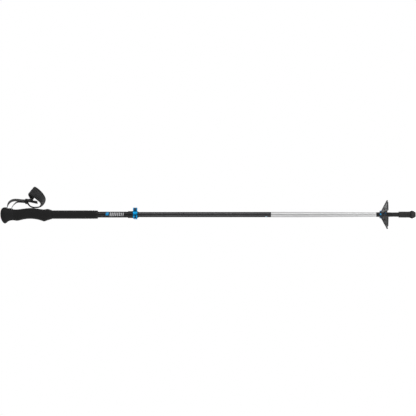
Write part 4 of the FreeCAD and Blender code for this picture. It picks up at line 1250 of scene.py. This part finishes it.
    def _skirt(self, shell: Shell) -> None:
        """A thin skirt under the shoulder, round the core's flange, with a small window under each arm."""
        inner, outer = self.skirt_inner, self.skirt_outer
        top = self.cone(outer) - self.skin + 0.2 * MM
        levels = ((90.3 * MM, 92.1 * MM), (95.6 * MM, top))
        for low, high in levels:
            ring = [
                (inner, low, 0.15 * MM), (outer, low, 0.3 * MM), (outer, high, 0.2 * MM), (inner, high, 0),
            ]
            shell.turned(rounded(ring), 100)
        step = 2 * math.pi / self.arms
        window = math.radians(self.skirt_window)
        low, high, face = 91.5 * MM, 96.2 * MM, outer - 0.05 * MM
        section = ((inner, low), (face, low), (face, high), (inner, high))
        for k in range(self.arms):
            first = math.radians(self.turn - 90) + math.radians(self.skirt_turn) + k * step
            rows = []
            for i in range(21):
                angle = first + window + (step - 2 * window) * i / 20
                rows.append([around_z(r, angle, z) for r, z in section])
            shell.skin(rows)

    def _outward(self, angle: float) -> Matrix:
        """The place of a stud: its own Z points out of the hub."""
        lifted = Matrix.Translation((0, 0, self.stud_height))
        return lifted @ Matrix.Rotation(angle, 4, "Z") @ Matrix.Rotation(math.pi / 2, 4, "Y")

    def _eyelet(self, shell: Shell, angle: float) -> None:
        """A raised ring round one of the hub's windows."""
        inner, outer = self.stud_radius + 0.12 * MM, self.stud_radius + 0.75 * MM
        low, high = 8.9 * MM, 11.25 * MM
        ring = [(inner, low, 0), (inner, high, 0.25 * MM), (outer, high, 0.25 * MM), (outer, low, 0)]
        shell.turned(rounded(ring), 40, self._outward(angle))

    def core(self, paint: PaintBox) -> bpy.types.Object:
        """The coloured core: flange, sleeve and domed studs."""
        shell = Shell("basket_insert")
        outline = [
            (self.bore, self.core_low, 0.3 * MM), (self.core_radius, self.core_low, 0.5 * MM),
            (self.core_radius, self.flange_low, 0.3 * MM), (self.flange_radius, self.flange_low, 0.8 * MM),
            (self.flange_radius, self.flange_high, 1.2 * MM),
            (self.core_radius, self.flange_high + 0.3 * MM, 0.6 * MM),
            (self.core_radius, self.core_top, 0.4 * MM), (self.bore, self.core_top, 0.3 * MM),
        ]
        shell.turned(rounded(outline), 90)
        for k in range(self.arms):
            angle = math.radians(self.turn - 90 + 360 / self.arms * k)
            dome = [
                (0, self.stud_base, 0), (self.stud_radius, self.stud_base, 0),
                (self.stud_radius, 11.1 * MM, 0.9 * MM),
                (self.stud_radius * 0.62, 12.05 * MM, 1.0 * MM), (0, self.stud_reach, 0),
            ]
            shell.turned(rounded(dome, closed=False), 40, self._outward(angle))
        return on_body(shell.finished(Slot.BLUE_PLASTIC, paint), "snow_basket", "basket_core")


# ---------------------------------------------------------------- lock


@dataclass
class LeverPad:
    """The ribbed rubber pad set in the lever's thumb slot."""

    inner: float = 12.05 * MM
    outer: float = 13.7 * MM
    half_height: float = 2.15 * MM
    middle: float = 855.25 * MM
    from_angle: float = math.radians(-96.5)
    to_angle: float = math.radians(-149)
    ribs: int = 9

    def pad(self, paint: PaintBox) -> bpy.types.Object:
        """Sweeps a rounded bar round the tube's axis, with ribs across it."""
        shell = Shell("lever_pad")
        rows = []
        steps = self.ribs * 8
        for k in range(steps + 1):
            share = k / steps
            angle = self.from_angle + (self.to_angle - self.from_angle) * share
            rib = 0.22 * MM * (1 - math.cos(2 * math.pi * self.ribs * share))
            end = min(1.0, min(share, 1 - share) * 14 + 0.3)
            outer, half = self.outer - 0.44 * MM + rib * end, self.half_height * min(1.0, 0.75 + end / 4)
            section = [
                (self.inner, -half, 0), (outer, -half, 0.35 * MM), (outer, half, 0.35 * MM),
                (self.inner, half, 0),
            ]
            rows.append([around_z(r, angle, self.middle + z) for r, z in rounded(section, steps=4)])
        shell.skin(rows)
        return on_body(shell.finished(Slot.BLACK_RUBBER, paint), "lock_lever")


# ---------------------------------------------------------------- grip


@dataclass(frozen=True)
class Oval:
    """A cross-section of the grip, in millimetres.

    It has a height, a reach to fingers, palm and sides, and a power that says how square it is.
    """

    height: float
    front: float
    back: float
    side: float
    power: float = 2.25

    def point(self, angle: float, sunk: float = 0.0) -> Vector:
        """The point at an angle from the palm side, sunk by a depth in metres."""
        middle, half = (self.back - self.front) / 2 * MM, (self.back + self.front) / 2 * MM
        across = math.copysign(abs(math.cos(angle)) ** (2 / self.power), math.cos(angle))
        aside = math.copysign(abs(math.sin(angle)) ** (2 / self.power), math.sin(angle))
        return Vector((middle + across * (half - sunk), aside * (self.side * MM - sunk), self.height * MM))

    def reach(self, y: float) -> float:
        """How far out the palm side is at a distance to the side, in metres."""
        share = min(abs(y) / (self.side * MM), 1.0)
        middle, half = (self.back - self.front) / 2 * MM, (self.back + self.front) / 2 * MM
        return middle + half * (1 - share ** self.power) ** (1 / self.power)


FOAM_OVALS = (
    Oval(1109, 13.3, 13.3, 12.9), Oval(1112, 14.3, 14.3, 13.4), Oval(1117, 15.9, 16.1, 14.2),
    Oval(1123, 17.6, 17.3, 14.6), Oval(1129, 19.9, 16.3, 14.6), Oval(1133, 20.9, 15.7, 14.4),
    Oval(1136, 20.3, 15.7, 14.3), Oval(1141, 18.4, 16.3, 14.0), Oval(1151, 15.5, 17.8, 13.8),
    Oval(1162, 13.6, 19.2, 14.1), Oval(1175, 12.7, 19.9, 14.6), Oval(1190, 13.7, 18.8, 14.3),
    Oval(1204, 16.7, 16.9, 13.8), Oval(1212, 18.6, 16.0, 13.6), Oval(1217, 18.9, 15.7, 13.5),
    Oval(1222, 18.2, 15.7, 13.5), Oval(1227.5, 17.4, 16.1, 13.7),
)
HEAD_OVALS = (
    Oval(1227.5, 17.2, 15.9, 13.6), Oval(1228.2, 17.6, 16.4, 13.9), Oval(1234, 18.0, 18.2, 14.3, 2.4),
    Oval(1242, 20.6, 20.0, 14.9, 2.5), Oval(1247.5, 25.0, 21.4, 15.5, 2.45),
    Oval(1252, 27.3, 22.4, 15.8, 2.4), Oval(1256.5, 25.4, 21.9, 15.4, 2.35),
    Oval(1260, 21.6, 20.2, 14.2), Oval(1263, 16.4, 17.2, 12.0),
    Oval(1265.5, 9.4, 11.7, 8.0), Oval(1266.5, 4.0, 6.0, 3.6), Oval(1266.7, 0.6, 1.6, 0.6),
)


def eased_ovals(ovals: Sequence[Oval], steps: int) -> list[Oval]:
    """Ovals eased between the given ones."""
    sizes = eased([Vector((o.height, o.front, o.back, o.side, o.power)) for o in ovals], steps)
    return [Oval(*size) for size in sizes]


@dataclass
class Grip:
    """Foam grip, lower foam sleeve, end ring, hard head and the wedge in its slot."""

    around: int = 72
    core_radius: float = 10.2 * MM
    tube_radius: float = 9 * MM
    rest_grooves: tuple[float, ...] = (1200.5, 1205.5, 1210.5, 1215.5, 1220.5)
    groove_depth: float = 0.5 * MM
    groove_half: float = 0.9
    finger_grooves: tuple[float, ...] = (3.5, 11, 22)
    finger_groove_half: float = 1.2
    finger_groove_depth: float = 0.9 * MM

    def _ring(self, oval: Oval, sunk: Callable[[float], float] = lambda angle: 0.0) -> list[Vector]:
        """The points of one oval, sunk by a depth that may change round it."""
        angles = (2 * math.pi * i / self.around for i in range(self.around))
        return [oval.point(angle, sunk(angle)) for angle in angles]

    def foam(self, paint: PaintBox) -> bpy.types.Object:
        """The contoured foam grip, with a rolled hem and shallow grooves at the index rest."""
        shell = Shell("grip_sleeve")
        rows = []
        for oval in eased_ovals(FOAM_OVALS, 9):
            away = [(oval.height - middle) / self.groove_half for middle in self.rest_grooves]
            cut = sum(math.exp(-(gap ** 2) * 2) for gap in away)

            def sunk(angle: float, cut: float = cut) -> float:
                """Grooves fade out toward the palm."""
                return self.groove_depth * cut * (0.35 + 0.65 * soft_step(-math.cos(angle), -0.6, 0.4))

            rows.append(self._ring(oval, sunk))
        top, bottom = FOAM_OVALS[-1].height * MM, FOAM_OVALS[0].height * MM
        bore = [[around_z(self.core_radius, 2 * math.pi * i / self.around, z) for i in range(self.around)]
                for z in (top, bottom)]
        shell.skin(rows + bore, looped=True)
        piece = on_body(shell.finished(Slot.GRIP_FOAM, paint), "upper_shaft", "grip_foam")
        return piece

    def extension(self, paint: PaintBox) -> bpy.types.Object:
        """The lower foam sleeve with its three finger grooves."""
        shell = Shell("lower_sleeve")
        low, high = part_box("grip_extension")
        radius = high.x
        outline = [(self.tube_radius, low.z, 0), (radius, low.z, 0.6 * MM)]
        half = self.finger_groove_half
        for centre in self.finger_grooves:
            lip = low.z + (centre - half) * MM
            outline += groove(radius, lip, half * MM, self.finger_groove_depth, 0.4 * MM, 0.7 * MM)
        for k in range(1, 8):
            outline.append((radius + 0.06 * MM * math.sin(k * 2.1), low.z + (24 + 13.6 * k) * MM, 0))
        outline += [(radius, high.z, 0.5 * MM), (self.tube_radius, high.z, 0)]
        shell.turned(rounded(outline), 88)
        piece = on_body(shell.finished(Slot.GRIP_FOAM, paint), "upper_shaft", "grip_extension")
        return piece

    def end_ring(self, paint: PaintBox) -> bpy.types.Object:
        """The tapered ring that closes the lower sleeve."""
        shell = Shell("sleeve_end_ring")
        low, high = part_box("grip_end_ring")
        radius = high.x
        outline = [
            (self.tube_radius, low.z, 0.2 * MM), (radius - 1.6 * MM, low.z, 0.7 * MM),
            (radius, low.z + 2 * MM, 1 * MM), (radius, high.z - 1.4 * MM, 0.3 * MM),
            (radius - 0.5 * MM, high.z - 1.0 * MM, 0.2 * MM), (radius - 0.5 * MM, high.z, 0),
            (self.tube_radius, high.z, 0),
        ]
        shell.turned(rounded(outline), 88)
        return on_body(shell.finished(Slot.BLACK_PLASTIC, paint), "upper_shaft", "grip_end_ring")

    def head(self, paint: PaintBox) -> bpy.types.Object:
        """The hard head: beak over the fingers, domed top, parting line and the strap's pocket."""
        shell = Shell("grip_cap")

        def parted(angle: float) -> float:
            """A fine parting line up the middle of the beak and the back."""
            return 0.22 * MM * math.exp(-((math.sin(angle) / 0.035) ** 2))

        rows = [self._ring(oval, parted) for oval in eased_ovals(HEAD_OVALS, 6)]
        shell.skin(rows)
        piece = shell.finished(Slot.GRIP_SHELL, paint)
        carved(piece, [self._pocket(paint)])
        return on_body(piece, "upper_shaft", "grip_head")

    def _pocket(self, paint: PaintBox) -> bpy.types.Object:
        """A cutter for the strap's slot, flared at its mouth."""
        cutter = Shell("pocket_cutter")
        rows = []
        for x, half_height, half_width in (
            (-0.6, 8.1, 10.5), (16.5, 8.1, 10.5), (18.5, 8.5, 10.9), (20.2, 9.4, 11.8), (30, 16, 18),
        ):
            ring = rounded_box(x * MM, half_width * MM, half_height * MM, SLOT_MIDDLE, 2.2 * MM)
            rows.append(ring)
        cutter.skin(rows)
        return cutter.finished(Slot.GRIP_SHELL, paint)

    def surround(self, paint: PaintBox) -> bpy.types.Object:
        """A moulded frame round the strap's slot, following the head's surface."""
        shell = Shell("slot_surround")
        ovals = eased_ovals(HEAD_OVALS[1:8], 12)
        rows = []
        for half_width, half_height, turn, lift in (
            (13.0, 11.3, 3.6, -1.8), (12.8, 11.1, 3.5, -0.2), (12.5, 10.8, 3.3, 0.7),
            (12.0, 10.2, 3.0, 1.25), (11.5, 9.5, 2.7, 1.5), (11.1, 8.9, 2.4, 1.35),
            (10.8, 8.5, 2.3, 0.7), (10.7, 8.35, 2.2, -2.4), (11.4, 9.4, 2.6, -3.2),
        ):
            outline = rounded(rectangle(half_width * MM, half_height * MM, turn * MM), steps=8)
            ring = []
            for k, (y, z) in enumerate(outline):
                following = outline[(k + 1) % len(outline)]
                pieces = 1 + int(math.dist((y, z), following) / (2 * MM))
                for step in range(pieces):
                    share = step / pieces
                    at_y, at_z = y + (following[0] - y) * share, z + (following[1] - z) * share
                    oval = min(ovals, key=lambda o: abs(o.height * MM - SLOT_MIDDLE - at_z))
                    ring.append(Vector((oval.reach(at_y) + lift * MM, at_y, SLOT_MIDDLE + at_z)))
            rows.append(ring)
        count = min(len(ring) for ring in rows)
        shell.skin([resampled(ring, count) for ring in rows], looped=True)
        return on_body(shell.finished(Slot.GRIP_SHELL, paint), "upper_shaft")

    def wedge(self, paint: PaintBox) -> bpy.types.Object:
        """The strap's wedge: round nose, ribbed outer end."""
        shell = Shell("strap_lock_wedge")
        low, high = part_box("strap_wedge")
        middle = (low.z + high.z) / 2
        half = (high.z - low.z) / 2
        width = high.y
        stations = [(low.x, 1.2), (low.x + 0.8 * MM, 3.0), (low.x + 2.4 * MM, 4.7), (low.x + 5.6 * MM, 5.6)]
        stations += [(x * MM, h) for x, h in (
            (13.2, 5.6), (13.8, 5.1), (14.6, 5.1), (15.2, 5.6), (16.2, 5.6), (16.8, 5.1), (17.6, 5.1),
            (18.2, 5.5), (19.0, 5.3), (19.4, 4.6),
        )]
        rows = [rounded_box(x, width, min(h * MM, half), middle, 0.8 * MM) for x, h in stations]
        shell.skin(rows)
        return on_body(shell.finished(Slot.BLACK_PLASTIC, paint), "upper_shaft", "strap_wedge")


def resampled(ring: Sequence[Vector], count: int) -> list[Vector]:
    """A ring of points spread evenly along another ring, starting at the same point."""
    runs = [0.0]
    for i, point in enumerate(ring):
        runs.append(runs[-1] + (ring[(i + 1) % len(ring)] - point).length)
    made = []
    i = 0
    for k in range(count):
        at = runs[-1] * k / count
        while runs[i + 1] < at:
            i += 1
        share = (at - runs[i]) / (runs[i + 1] - runs[i])
        made.append(ring[i].lerp(ring[(i + 1) % len(ring)], share))
    return made


def rounded_box(
    x: float, half_width: float, half_height: float, middle: float, reach: float
) -> list[Vector]:
    """A ring in the plane at x: a rounded rectangle about Y zero and a middle height."""
    outline = rounded(rectangle(half_width, half_height, reach))
    return [Vector((x, y, middle + z)) for y, z in outline]


# ---------------------------------------------------------------- wrist strap


UPPER_STRAND = metres([
    ((8.5, -8.6, 1245.7), (8.5, 8.6, 1245.7)),
    ((17, -8.6, 1245.7), (19, 8.6, 1245.7)), ((24, -8.9, 1244.4), (27, 8.9, 1245.8)),
    ((31, -9.1, 1240.5), (35.2, 9.1, 1243.8)), ((36.8, -9.2, 1234.6), (42.6, 9.2, 1238)),
    ((40.4, -9.2, 1226), (47.2, 9.2, 1227.6)), ((41, -9.2, 1214), (47.6, 9.2, 1214)),
    ((40.3, -9.2, 1201), (46, 9.2, 1201)), ((40.6, -9.2, 1187), (45.8, 9.2, 1187)),
    ((40.6, -9.2, 1183), (45.8, 9.2, 1183)),
])
LOWER_STRAND = metres([
    ((8.5, -8.8, 1232.3), (8.5, 8.8, 1232.3)),
    ((16.4, -8.8, 1232.3), (17.4, 8.8, 1232.3)), ((21.6, -9, 1230.8), (23.2, 9, 1230.8)),
    ((26.8, -9.2, 1227.4), (28.8, 9.2, 1227.6)), ((32.4, -9.2, 1221.6), (35.2, 9.2, 1222)),
    ((36.6, -9.2, 1213.6), (40.8, 9.2, 1213.8)), ((36.6, -9.2, 1201), (40.8, 9.2, 1201)),
    ((35.4, -9.2, 1187), (39.8, 9.2, 1187)), ((35.4, -9.2, 1183), (39.6, 9.2, 1183)),
])
WRIST_BAND = metres([
    ((41.2, -9.2, 1184), (46.2, 9.2, 1184)), ((41.6, -6, 1170), (50.4, 15.5, 1166)),
    ((52.5, -3, 1177), (67.4, 17.5, 1161.6)), ((60, -6, 1180.2), (79.6, 14, 1165.6)),
    ((64.6, -11, 1177.6), (84, 9.5, 1161.6)), ((60, -14.6, 1170.5), (80.4, 8, 1154.5)),
    ((52.5, -15.8, 1163), (72.5, 8, 1145)), ((44.6, -15, 1153.4), (60.5, 9.5, 1135)),
    ((35.6, -13.2, 1143.6), (46.6, 11, 1129.6)), ((27.4, -11, 1143.4), (32.6, 10.6, 1134.8)),
    ((22.4, -9.4, 1149.6), (24, 10, 1146)), ((21.5, -9.2, 1160), (22.2, 9.4, 1160)),
    ((22, -9.2, 1168.5), (23, 9.2, 1169)), ((26.6, -9.2, 1177), (27.8, 9.2, 1178)),
    ((34.8, -9.2, 1184), (39, 9.2, 1184)),
])
STRAP_TAIL = metres([
    ((38.8, -7.6, 1184), (41.4, 7.6, 1184)), ((37.4, -7.8, 1174), (42.6, 7.8, 1174)),
    ((35.2, -7.8, 1163), (42.2, 7.8, 1163)), ((34.6, -7.8, 1160), (41.6, 7.8, 1160.6)),
])
TAIL_TAB = metres([
    ((35.2, -7.8, 1162.6), (42.2, 7.8, 1162.6)), ((34.3, -7.8, 1157.6), (41.3, 7.8, 1158.4)),
    ((33.4, -7.8, 1152.6), (40.4, 7.8, 1154.4)),
])


@dataclass
class WristStrap:
    """Webbing strands, keeper, padded band with bound and stitched edges, lining and tail."""

    pivot: Corner = (0.0205, 0.0, 1.239)
    bend_end: Corner = (0.034, 0.0, 1.2325)
    webbing: TapeSection = TapeSection(1.7 * MM, square=7.0)
    band: TapeSection = TapeSection(
        2.6 * MM, square=3.6, crown=0.5 * MM, channel=0.35 * MM, channel_at=0.72, points=40
    )
    lining: TapeSection = TapeSection(1.2 * MM, square=3.0, crown=0.35 * MM, points=24)
    binding: TapeSection = TapeSection(3.5 * MM, square=2.6, points=16)
    tab: TapeSection = TapeSection(3.0 * MM, square=4.0, points=28)
    thread: Thread = Thread()
    lining_span: tuple[int, int] = (4, 8)
    steps: int = 10
    turn_nose: float = 7.5 * MM
    turn_radius: float = 6.7 * MM
    turn_end: float = 9 * MM
    turn_half_width: float = 8.6 * MM
    seam_at: float = 0.845
    seam_rise: float = 1.66 * MM
    tab_ribs: tuple[int, ...] = (5, 9, 13, 17, 21)
    rib_radius: float = 0.5 * MM

    def strands(self, paint: PaintBox) -> list[bpy.types.Object]:
        """The two strands between the head's slot and the keeper."""
        made = []
        for name, stations, nodes in (
            ("strap_outer_strand", UPPER_STRAND, ("strap_webbing", "strap_anchor")),
            ("strap_inner_strand", LOWER_STRAND, ("strap_webbing",)),
        ):
            shell = Shell(name)
            lay = Lay(stations, self.steps)
            lay.skin(shell, self.webbing)
            piece = shell.finished(Slot.WEBBING, paint)
            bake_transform(piece)
            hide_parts(*nodes)
            log.info("built %s, bending at the pivot", name)
            made.append(piece)
        return made

    def turn(self, paint: PaintBox) -> bpy.types.Object:
        """The webbing's turn round the wedge's nose, inside the head."""
        shell = Shell("strap_turn")
        radius, half = self.turn_radius, self.turn_half_width
        route = [(self.turn_end, SLOT_MIDDLE + radius)]
        for k in range(9):
            angle = math.pi / 2 + math.pi * k / 8
            route.append((self.turn_nose + radius * math.cos(angle), SLOT_MIDDLE + radius * math.sin(angle)))
        route.append((self.turn_end, SLOT_MIDDLE - radius))
        Lay([((x, -half, z), (x, half, z)) for x, z in route], 3).skin(shell, self.webbing)
        return on_body(shell.finished(Slot.WEBBING, paint), "upper_shaft")

    def wrist_band(self, paint: PaintBox) -> bpy.types.Object:
        """The padded band, with its edges bound in tape and sewn through."""
        lay = Lay(WRIST_BAND, self.steps)
        shell = Shell("wrist_pad")
        lay.skin(shell, self.band)
        pad = on_body(shell.finished(Slot.BAND_FABRIC, paint), "wrist_strap", "wrist_band")
        self._edging(lay, paint)
        self._stitching(lay, paint)
        return pad

    def _edging(self, lay: Lay, paint: PaintBox) -> None:
        """Binding tape folded over both long edges."""
        shell = Shell("band_binding")
        for low, high in ((-1.03, -0.8), (0.8, 1.03)):
            lay.skin(shell, self.binding, low, high)
        on_body(shell.finished(Slot.WEBBING, paint), "wrist_strap")

    def _stitching(self, lay: Lay, paint: PaintBox) -> None:
        """Rows of stitches beside the binding, on both faces."""
        shell = Shell("band_stitching")
        for across in (-self.seam_at, self.seam_at):
            for way in (-1, 1):
                line = [lay.at(i, across, way * self.seam_rise) for i in range(len(lay.near))]
                stitched(shell, line, [rise * way for rise in lay.rise], self.thread)
        on_body(shell.finished(Slot.LINING_FABRIC, paint), "wrist_strap")

    def lining_pad(self, paint: PaintBox) -> bpy.types.Object:
        """The softer layer on the wrist side of the band's wide stretch."""
        shell = Shell("wrist_lining")
        first, last = self.lining_span
        lay = Lay(WRIST_BAND, self.steps)
        span = slice(first * self.steps, last * self.steps + 1)
        lay.near, lay.far, lay.rise = lay.near[span], lay.far[span], lay.rise[span]
        lay.skin(shell, self.lining, -0.76, 0.76, lift=-2.1 * MM)
        piece = on_body(shell.finished(Slot.LINING_FABRIC, paint), "wrist_strap", "band_lining")
        return piece

    def tail(self, paint: PaintBox) -> None:
        """The strap's loose tail and the moulded tab on its end."""
        shell = Shell("strap_loose_tail")
        Lay(STRAP_TAIL, self.steps).skin(shell, self.webbing)
        on_body(shell.finished(Slot.WEBBING, paint), "wrist_strap", "strap_tail")
        tab = Shell("tail_pull_tab")
        lay = Lay(TAIL_TAB, 12)
        lay.skin(tab, self.tab)
        for k in self.tab_ribs:
            for way in (-1, 1):
                tab.skin([self._rib_ring(lay, k, across / 10, way) for across in range(-8, 9, 2)])
        on_body(tab.finished(Slot.BLACK_PLASTIC, paint), "wrist_strap", "tail_tab")

    def _rib_ring(self, lay: Lay, k: int, across: float, way: int) -> list[Vector]:
        """A small ring of points about a rib that crosses the tab, on the face that way points to."""
        middle = lay.at(k, across, way * 1.35 * MM)
        along = (lay.near[k + 1] - lay.near[k]).normalized()
        ring = []
        for i in range(8):
            angle = i * math.pi / 4
            up, over = self.rib_radius * way * math.sin(angle), self.rib_radius * math.cos(angle)
            ring.append(middle + lay.rise[k] * up + along * over)
        return ring

    def keeper(self, paint: PaintBox) -> bpy.types.Object:
        """The moulded loop that holds the strands, band ends and tail together."""
        low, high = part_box("strap_keeper")
        reach = 3 * MM
        middle = (low + high) / 2
        shell = Shell("strap_loop")
        rows = []
        for inset, z in (
            (0.45, 0.0), (0.1, 0.35), (0.0, 0.9), (0.0, 5.1), (0.1, 5.65), (0.45, 6.0),
            (0.95, 6.0), (1.3, 5.65), (1.4, 5.1), (1.4, 0.9), (1.3, 0.35), (0.95, 0.0),
        ):
            half_x = (high.x - low.x) / 2 - inset * MM
            half_y = (high.y - low.y) / 2 - inset * MM
            turn = max(reach - inset * MM, 0.6 * MM)
            outline = rounded(rectangle(half_x, half_y, turn), steps=7)
            rows.append([Vector((middle.x + x, middle.y + y, low.z + z * MM)) for x, y in outline])
        shell.skin(rows, looped=True)
        return on_body(shell.finished(Slot.BLACK_PLASTIC, paint), "wrist_strap", "strap_keeper")


# ---------------------------------------------------------------- parts that keep their CAD shape


CARRIED_OVER = {
    "upper_tube": Slot.BLACK_TUBE,
    "lower_tube_dark": Slot.DARK_TUBE,
    "lower_tube_silver": Slot.SILVER_TUBE,
    "joint_ferrule": Slot.SILVER_TUBE,
    "tube_top_plug": Slot.BLACK_PLASTIC,
    "grip_core": Slot.BLACK_PLASTIC,
    "strap_pin": Slot.STEEL,
    "clamp_collar": Slot.BLACK_PLASTIC,
    "clamp_band": Slot.BLUE_METAL,
    "clamp_lever": Slot.BLUE_METAL,
    "cam_saddle": Slot.STEEL,
    "barrel_nut": Slot.STEEL,
    "screw_washer": Slot.STEEL,
    "tension_screw": Slot.STEEL,
    "guide_bush": Slot.NATURAL_PLASTIC,
    "shaft_plug": Slot.BLACK_PLASTIC,
    "tip_holder": Slot.STEEL,
    "carbide_tip": Slot.CARBIDE,
    "cap_disc": Slot.STEEL,
}


EDGE_BREAKS = {
    "clamp_collar": 0.3 * MM,
    "clamp_band": 0.35 * MM,
    "clamp_lever": 0.4 * MM,
    "cam_saddle": 0.25 * MM,
    "barrel_nut": 0.2 * MM,
    "screw_washer": 0.15 * MM,
    "tension_screw": 0.2 * MM,
}


# ---------------------------------------------------------------- studio


@dataclass
class Studio:
    """Camera, soft lights, pale surroundings and a pale floor."""

    eye: Corner = (0.0201, -14.0, 0.6332)
    width_seen: float = 1.2688
    sensor: float = 36.0
    softboxes: tuple[tuple[Corner, float, float, float], ...] = (
        ((1.5, -1.5, 0.75), 0.7, 1.8, 11.5),
        ((-1.5, -1.5, 0.75), 0.7, 1.8, 8.0),
        ((0.3, 1.6, 1.3), 0.9, 1.2, 7.0),
    )
    aim: Corner = (0.0, 0.0, 0.62)
    room_front: float = 0.16
    room_back: float = 0.72
    floor_radius: float = 0.42
    floor_drop: float = 0.0004
    floor_tone: float = 0.9
    floor_glow: float = 0.72

    def camera(self) -> None:
        """Looks along +Y with the palm side up in the picture and the grip at its left."""
        data = bpy.data.cameras.new("studio_camera")
        data.sensor_width = self.sensor
        data.lens = self.sensor * -self.eye[1] / self.width_seen
        camera = bpy.data.objects.new("studio_camera", data)
        right, up, back = Vector((0, 0, -1)), Vector((1, 0, 0)), Vector((0, -1, 0))
        turn = Matrix((right, up, back)).transposed()
        camera.matrix_world = Matrix.Translation(self.eye) @ turn.to_4x4()
        bpy.context.scene.collection.objects.link(camera)
        bpy.context.scene.camera = camera

    def lights(self) -> None:
        """Tall softboxes at both sides of the pole and one behind it."""
        for i, (place, width, height, power) in enumerate(self.softboxes):
            data = bpy.data.lights.new(f"softbox_{i}", "AREA")
            data.shape, data.size, data.size_y, data.energy = "RECTANGLE", width, height, power
            lamp = bpy.data.objects.new(data.name, data)
            lamp.location = place
            lamp.rotation_euler = (Vector(self.aim) - Vector(place)).to_track_quat("-Z", "Y").to_euler()
            bpy.context.scene.collection.objects.link(lamp)

    def surroundings(self) -> None:
        """White behind the pole, and a softer room light that falls off toward the front."""
        world = bpy.data.worlds.new("studio")
        world.use_nodes = True
        bpy.context.scene.world = world
        world.node_tree.nodes.clear()
        wiring = Wiring(world.node_tree)
        seen, room = wiring.add("ShaderNodeBackground"), wiring.add("ShaderNodeBackground")
        seen.inputs["Color"].default_value = (1, 1, 1, 1)
        apart = wiring.axes(wiring.add("ShaderNodeTexCoord").outputs["Generated"])
        glow = wiring.spread(apart["Y"], -1.0, 0.5, self.room_front, self.room_back)
        wiring.feed(room.inputs["Strength"], glow)
        both = wiring.add("ShaderNodeMixShader")
        wiring.feed(both.inputs[0], wiring.add("ShaderNodeLightPath").outputs["Is Camera Ray"])
        wiring.feed(both.inputs[1], room.outputs[0])
        wiring.feed(both.inputs[2], seen.outputs[0])
        wiring.feed(wiring.add("ShaderNodeOutputWorld").inputs[0], both.outputs[0])

    def floor(self) -> None:
        """A small pale disc under the foot."""
        shell = bmesh.new()
        bmesh.ops.create_circle(shell, cap_ends=True, segments=96, radius=self.floor_radius)
        data = bpy.data.meshes.new("floor")
        shell.to_mesh(data)
        shell.free()
        material = bpy.data.materials.new("pale_floor")
        material.use_nodes = True
        shader = material.node_tree.nodes["Principled BSDF"]
        shader.inputs["Base Color"].default_value = rgba((self.floor_tone,) * 3)
        shader.inputs["Roughness"].default_value = 0.8
        shader.inputs["Emission Color"].default_value = (1, 1, 1, 1)
        shader.inputs["Emission Strength"].default_value = self.floor_glow
        data.materials.append(material)
        disc = bpy.data.objects.new("floor", data)
        disc.location = (0, 0, -self.floor_drop)
        bpy.context.scene.collection.objects.link(disc)

    def set_up(self) -> None:
        """Builds everything that isn't the pole."""
        bpy.context.scene.view_settings.view_transform = "Standard"
        self.camera()
        self.lights()
        self.surroundings()
        self.floor()


# ---------------------------------------------------------------- the pole


def main() -> None:
    """Builds the pole piece by piece, from the ground up, and then the studio."""
    logging.basicConfig(level=logging.INFO, format="%(name)s: %(message)s")
    paint = PaintBox()
    paint.dress(CARRIED_OVER)
    for node, width in EDGE_BREAKS.items():
        broken_edges(node, width)
    tip_end = TipEnd()
    tip_end.foot(paint)
    tip_end.flex_tip(paint)
    tip_end.collar(paint)
    basket = SnowBasket()
    basket.cage(paint)
    basket.core(paint)
    LeverPad().pad(paint)
    grip = Grip()
    grip.foam(paint)
    grip.extension(paint)
    grip.end_ring(paint)
    grip.head(paint)
    grip.surround(paint)
    grip.wedge(paint)
    strap = WristStrap()
    strap.strands(paint)
    strap.turn(paint)
    strap.wrist_band(paint)
    strap.lining_pad(paint)
    strap.tail(paint)
    strap.keeper(paint)
    Studio().set_up()


if __name__ == "__main__":
    main()
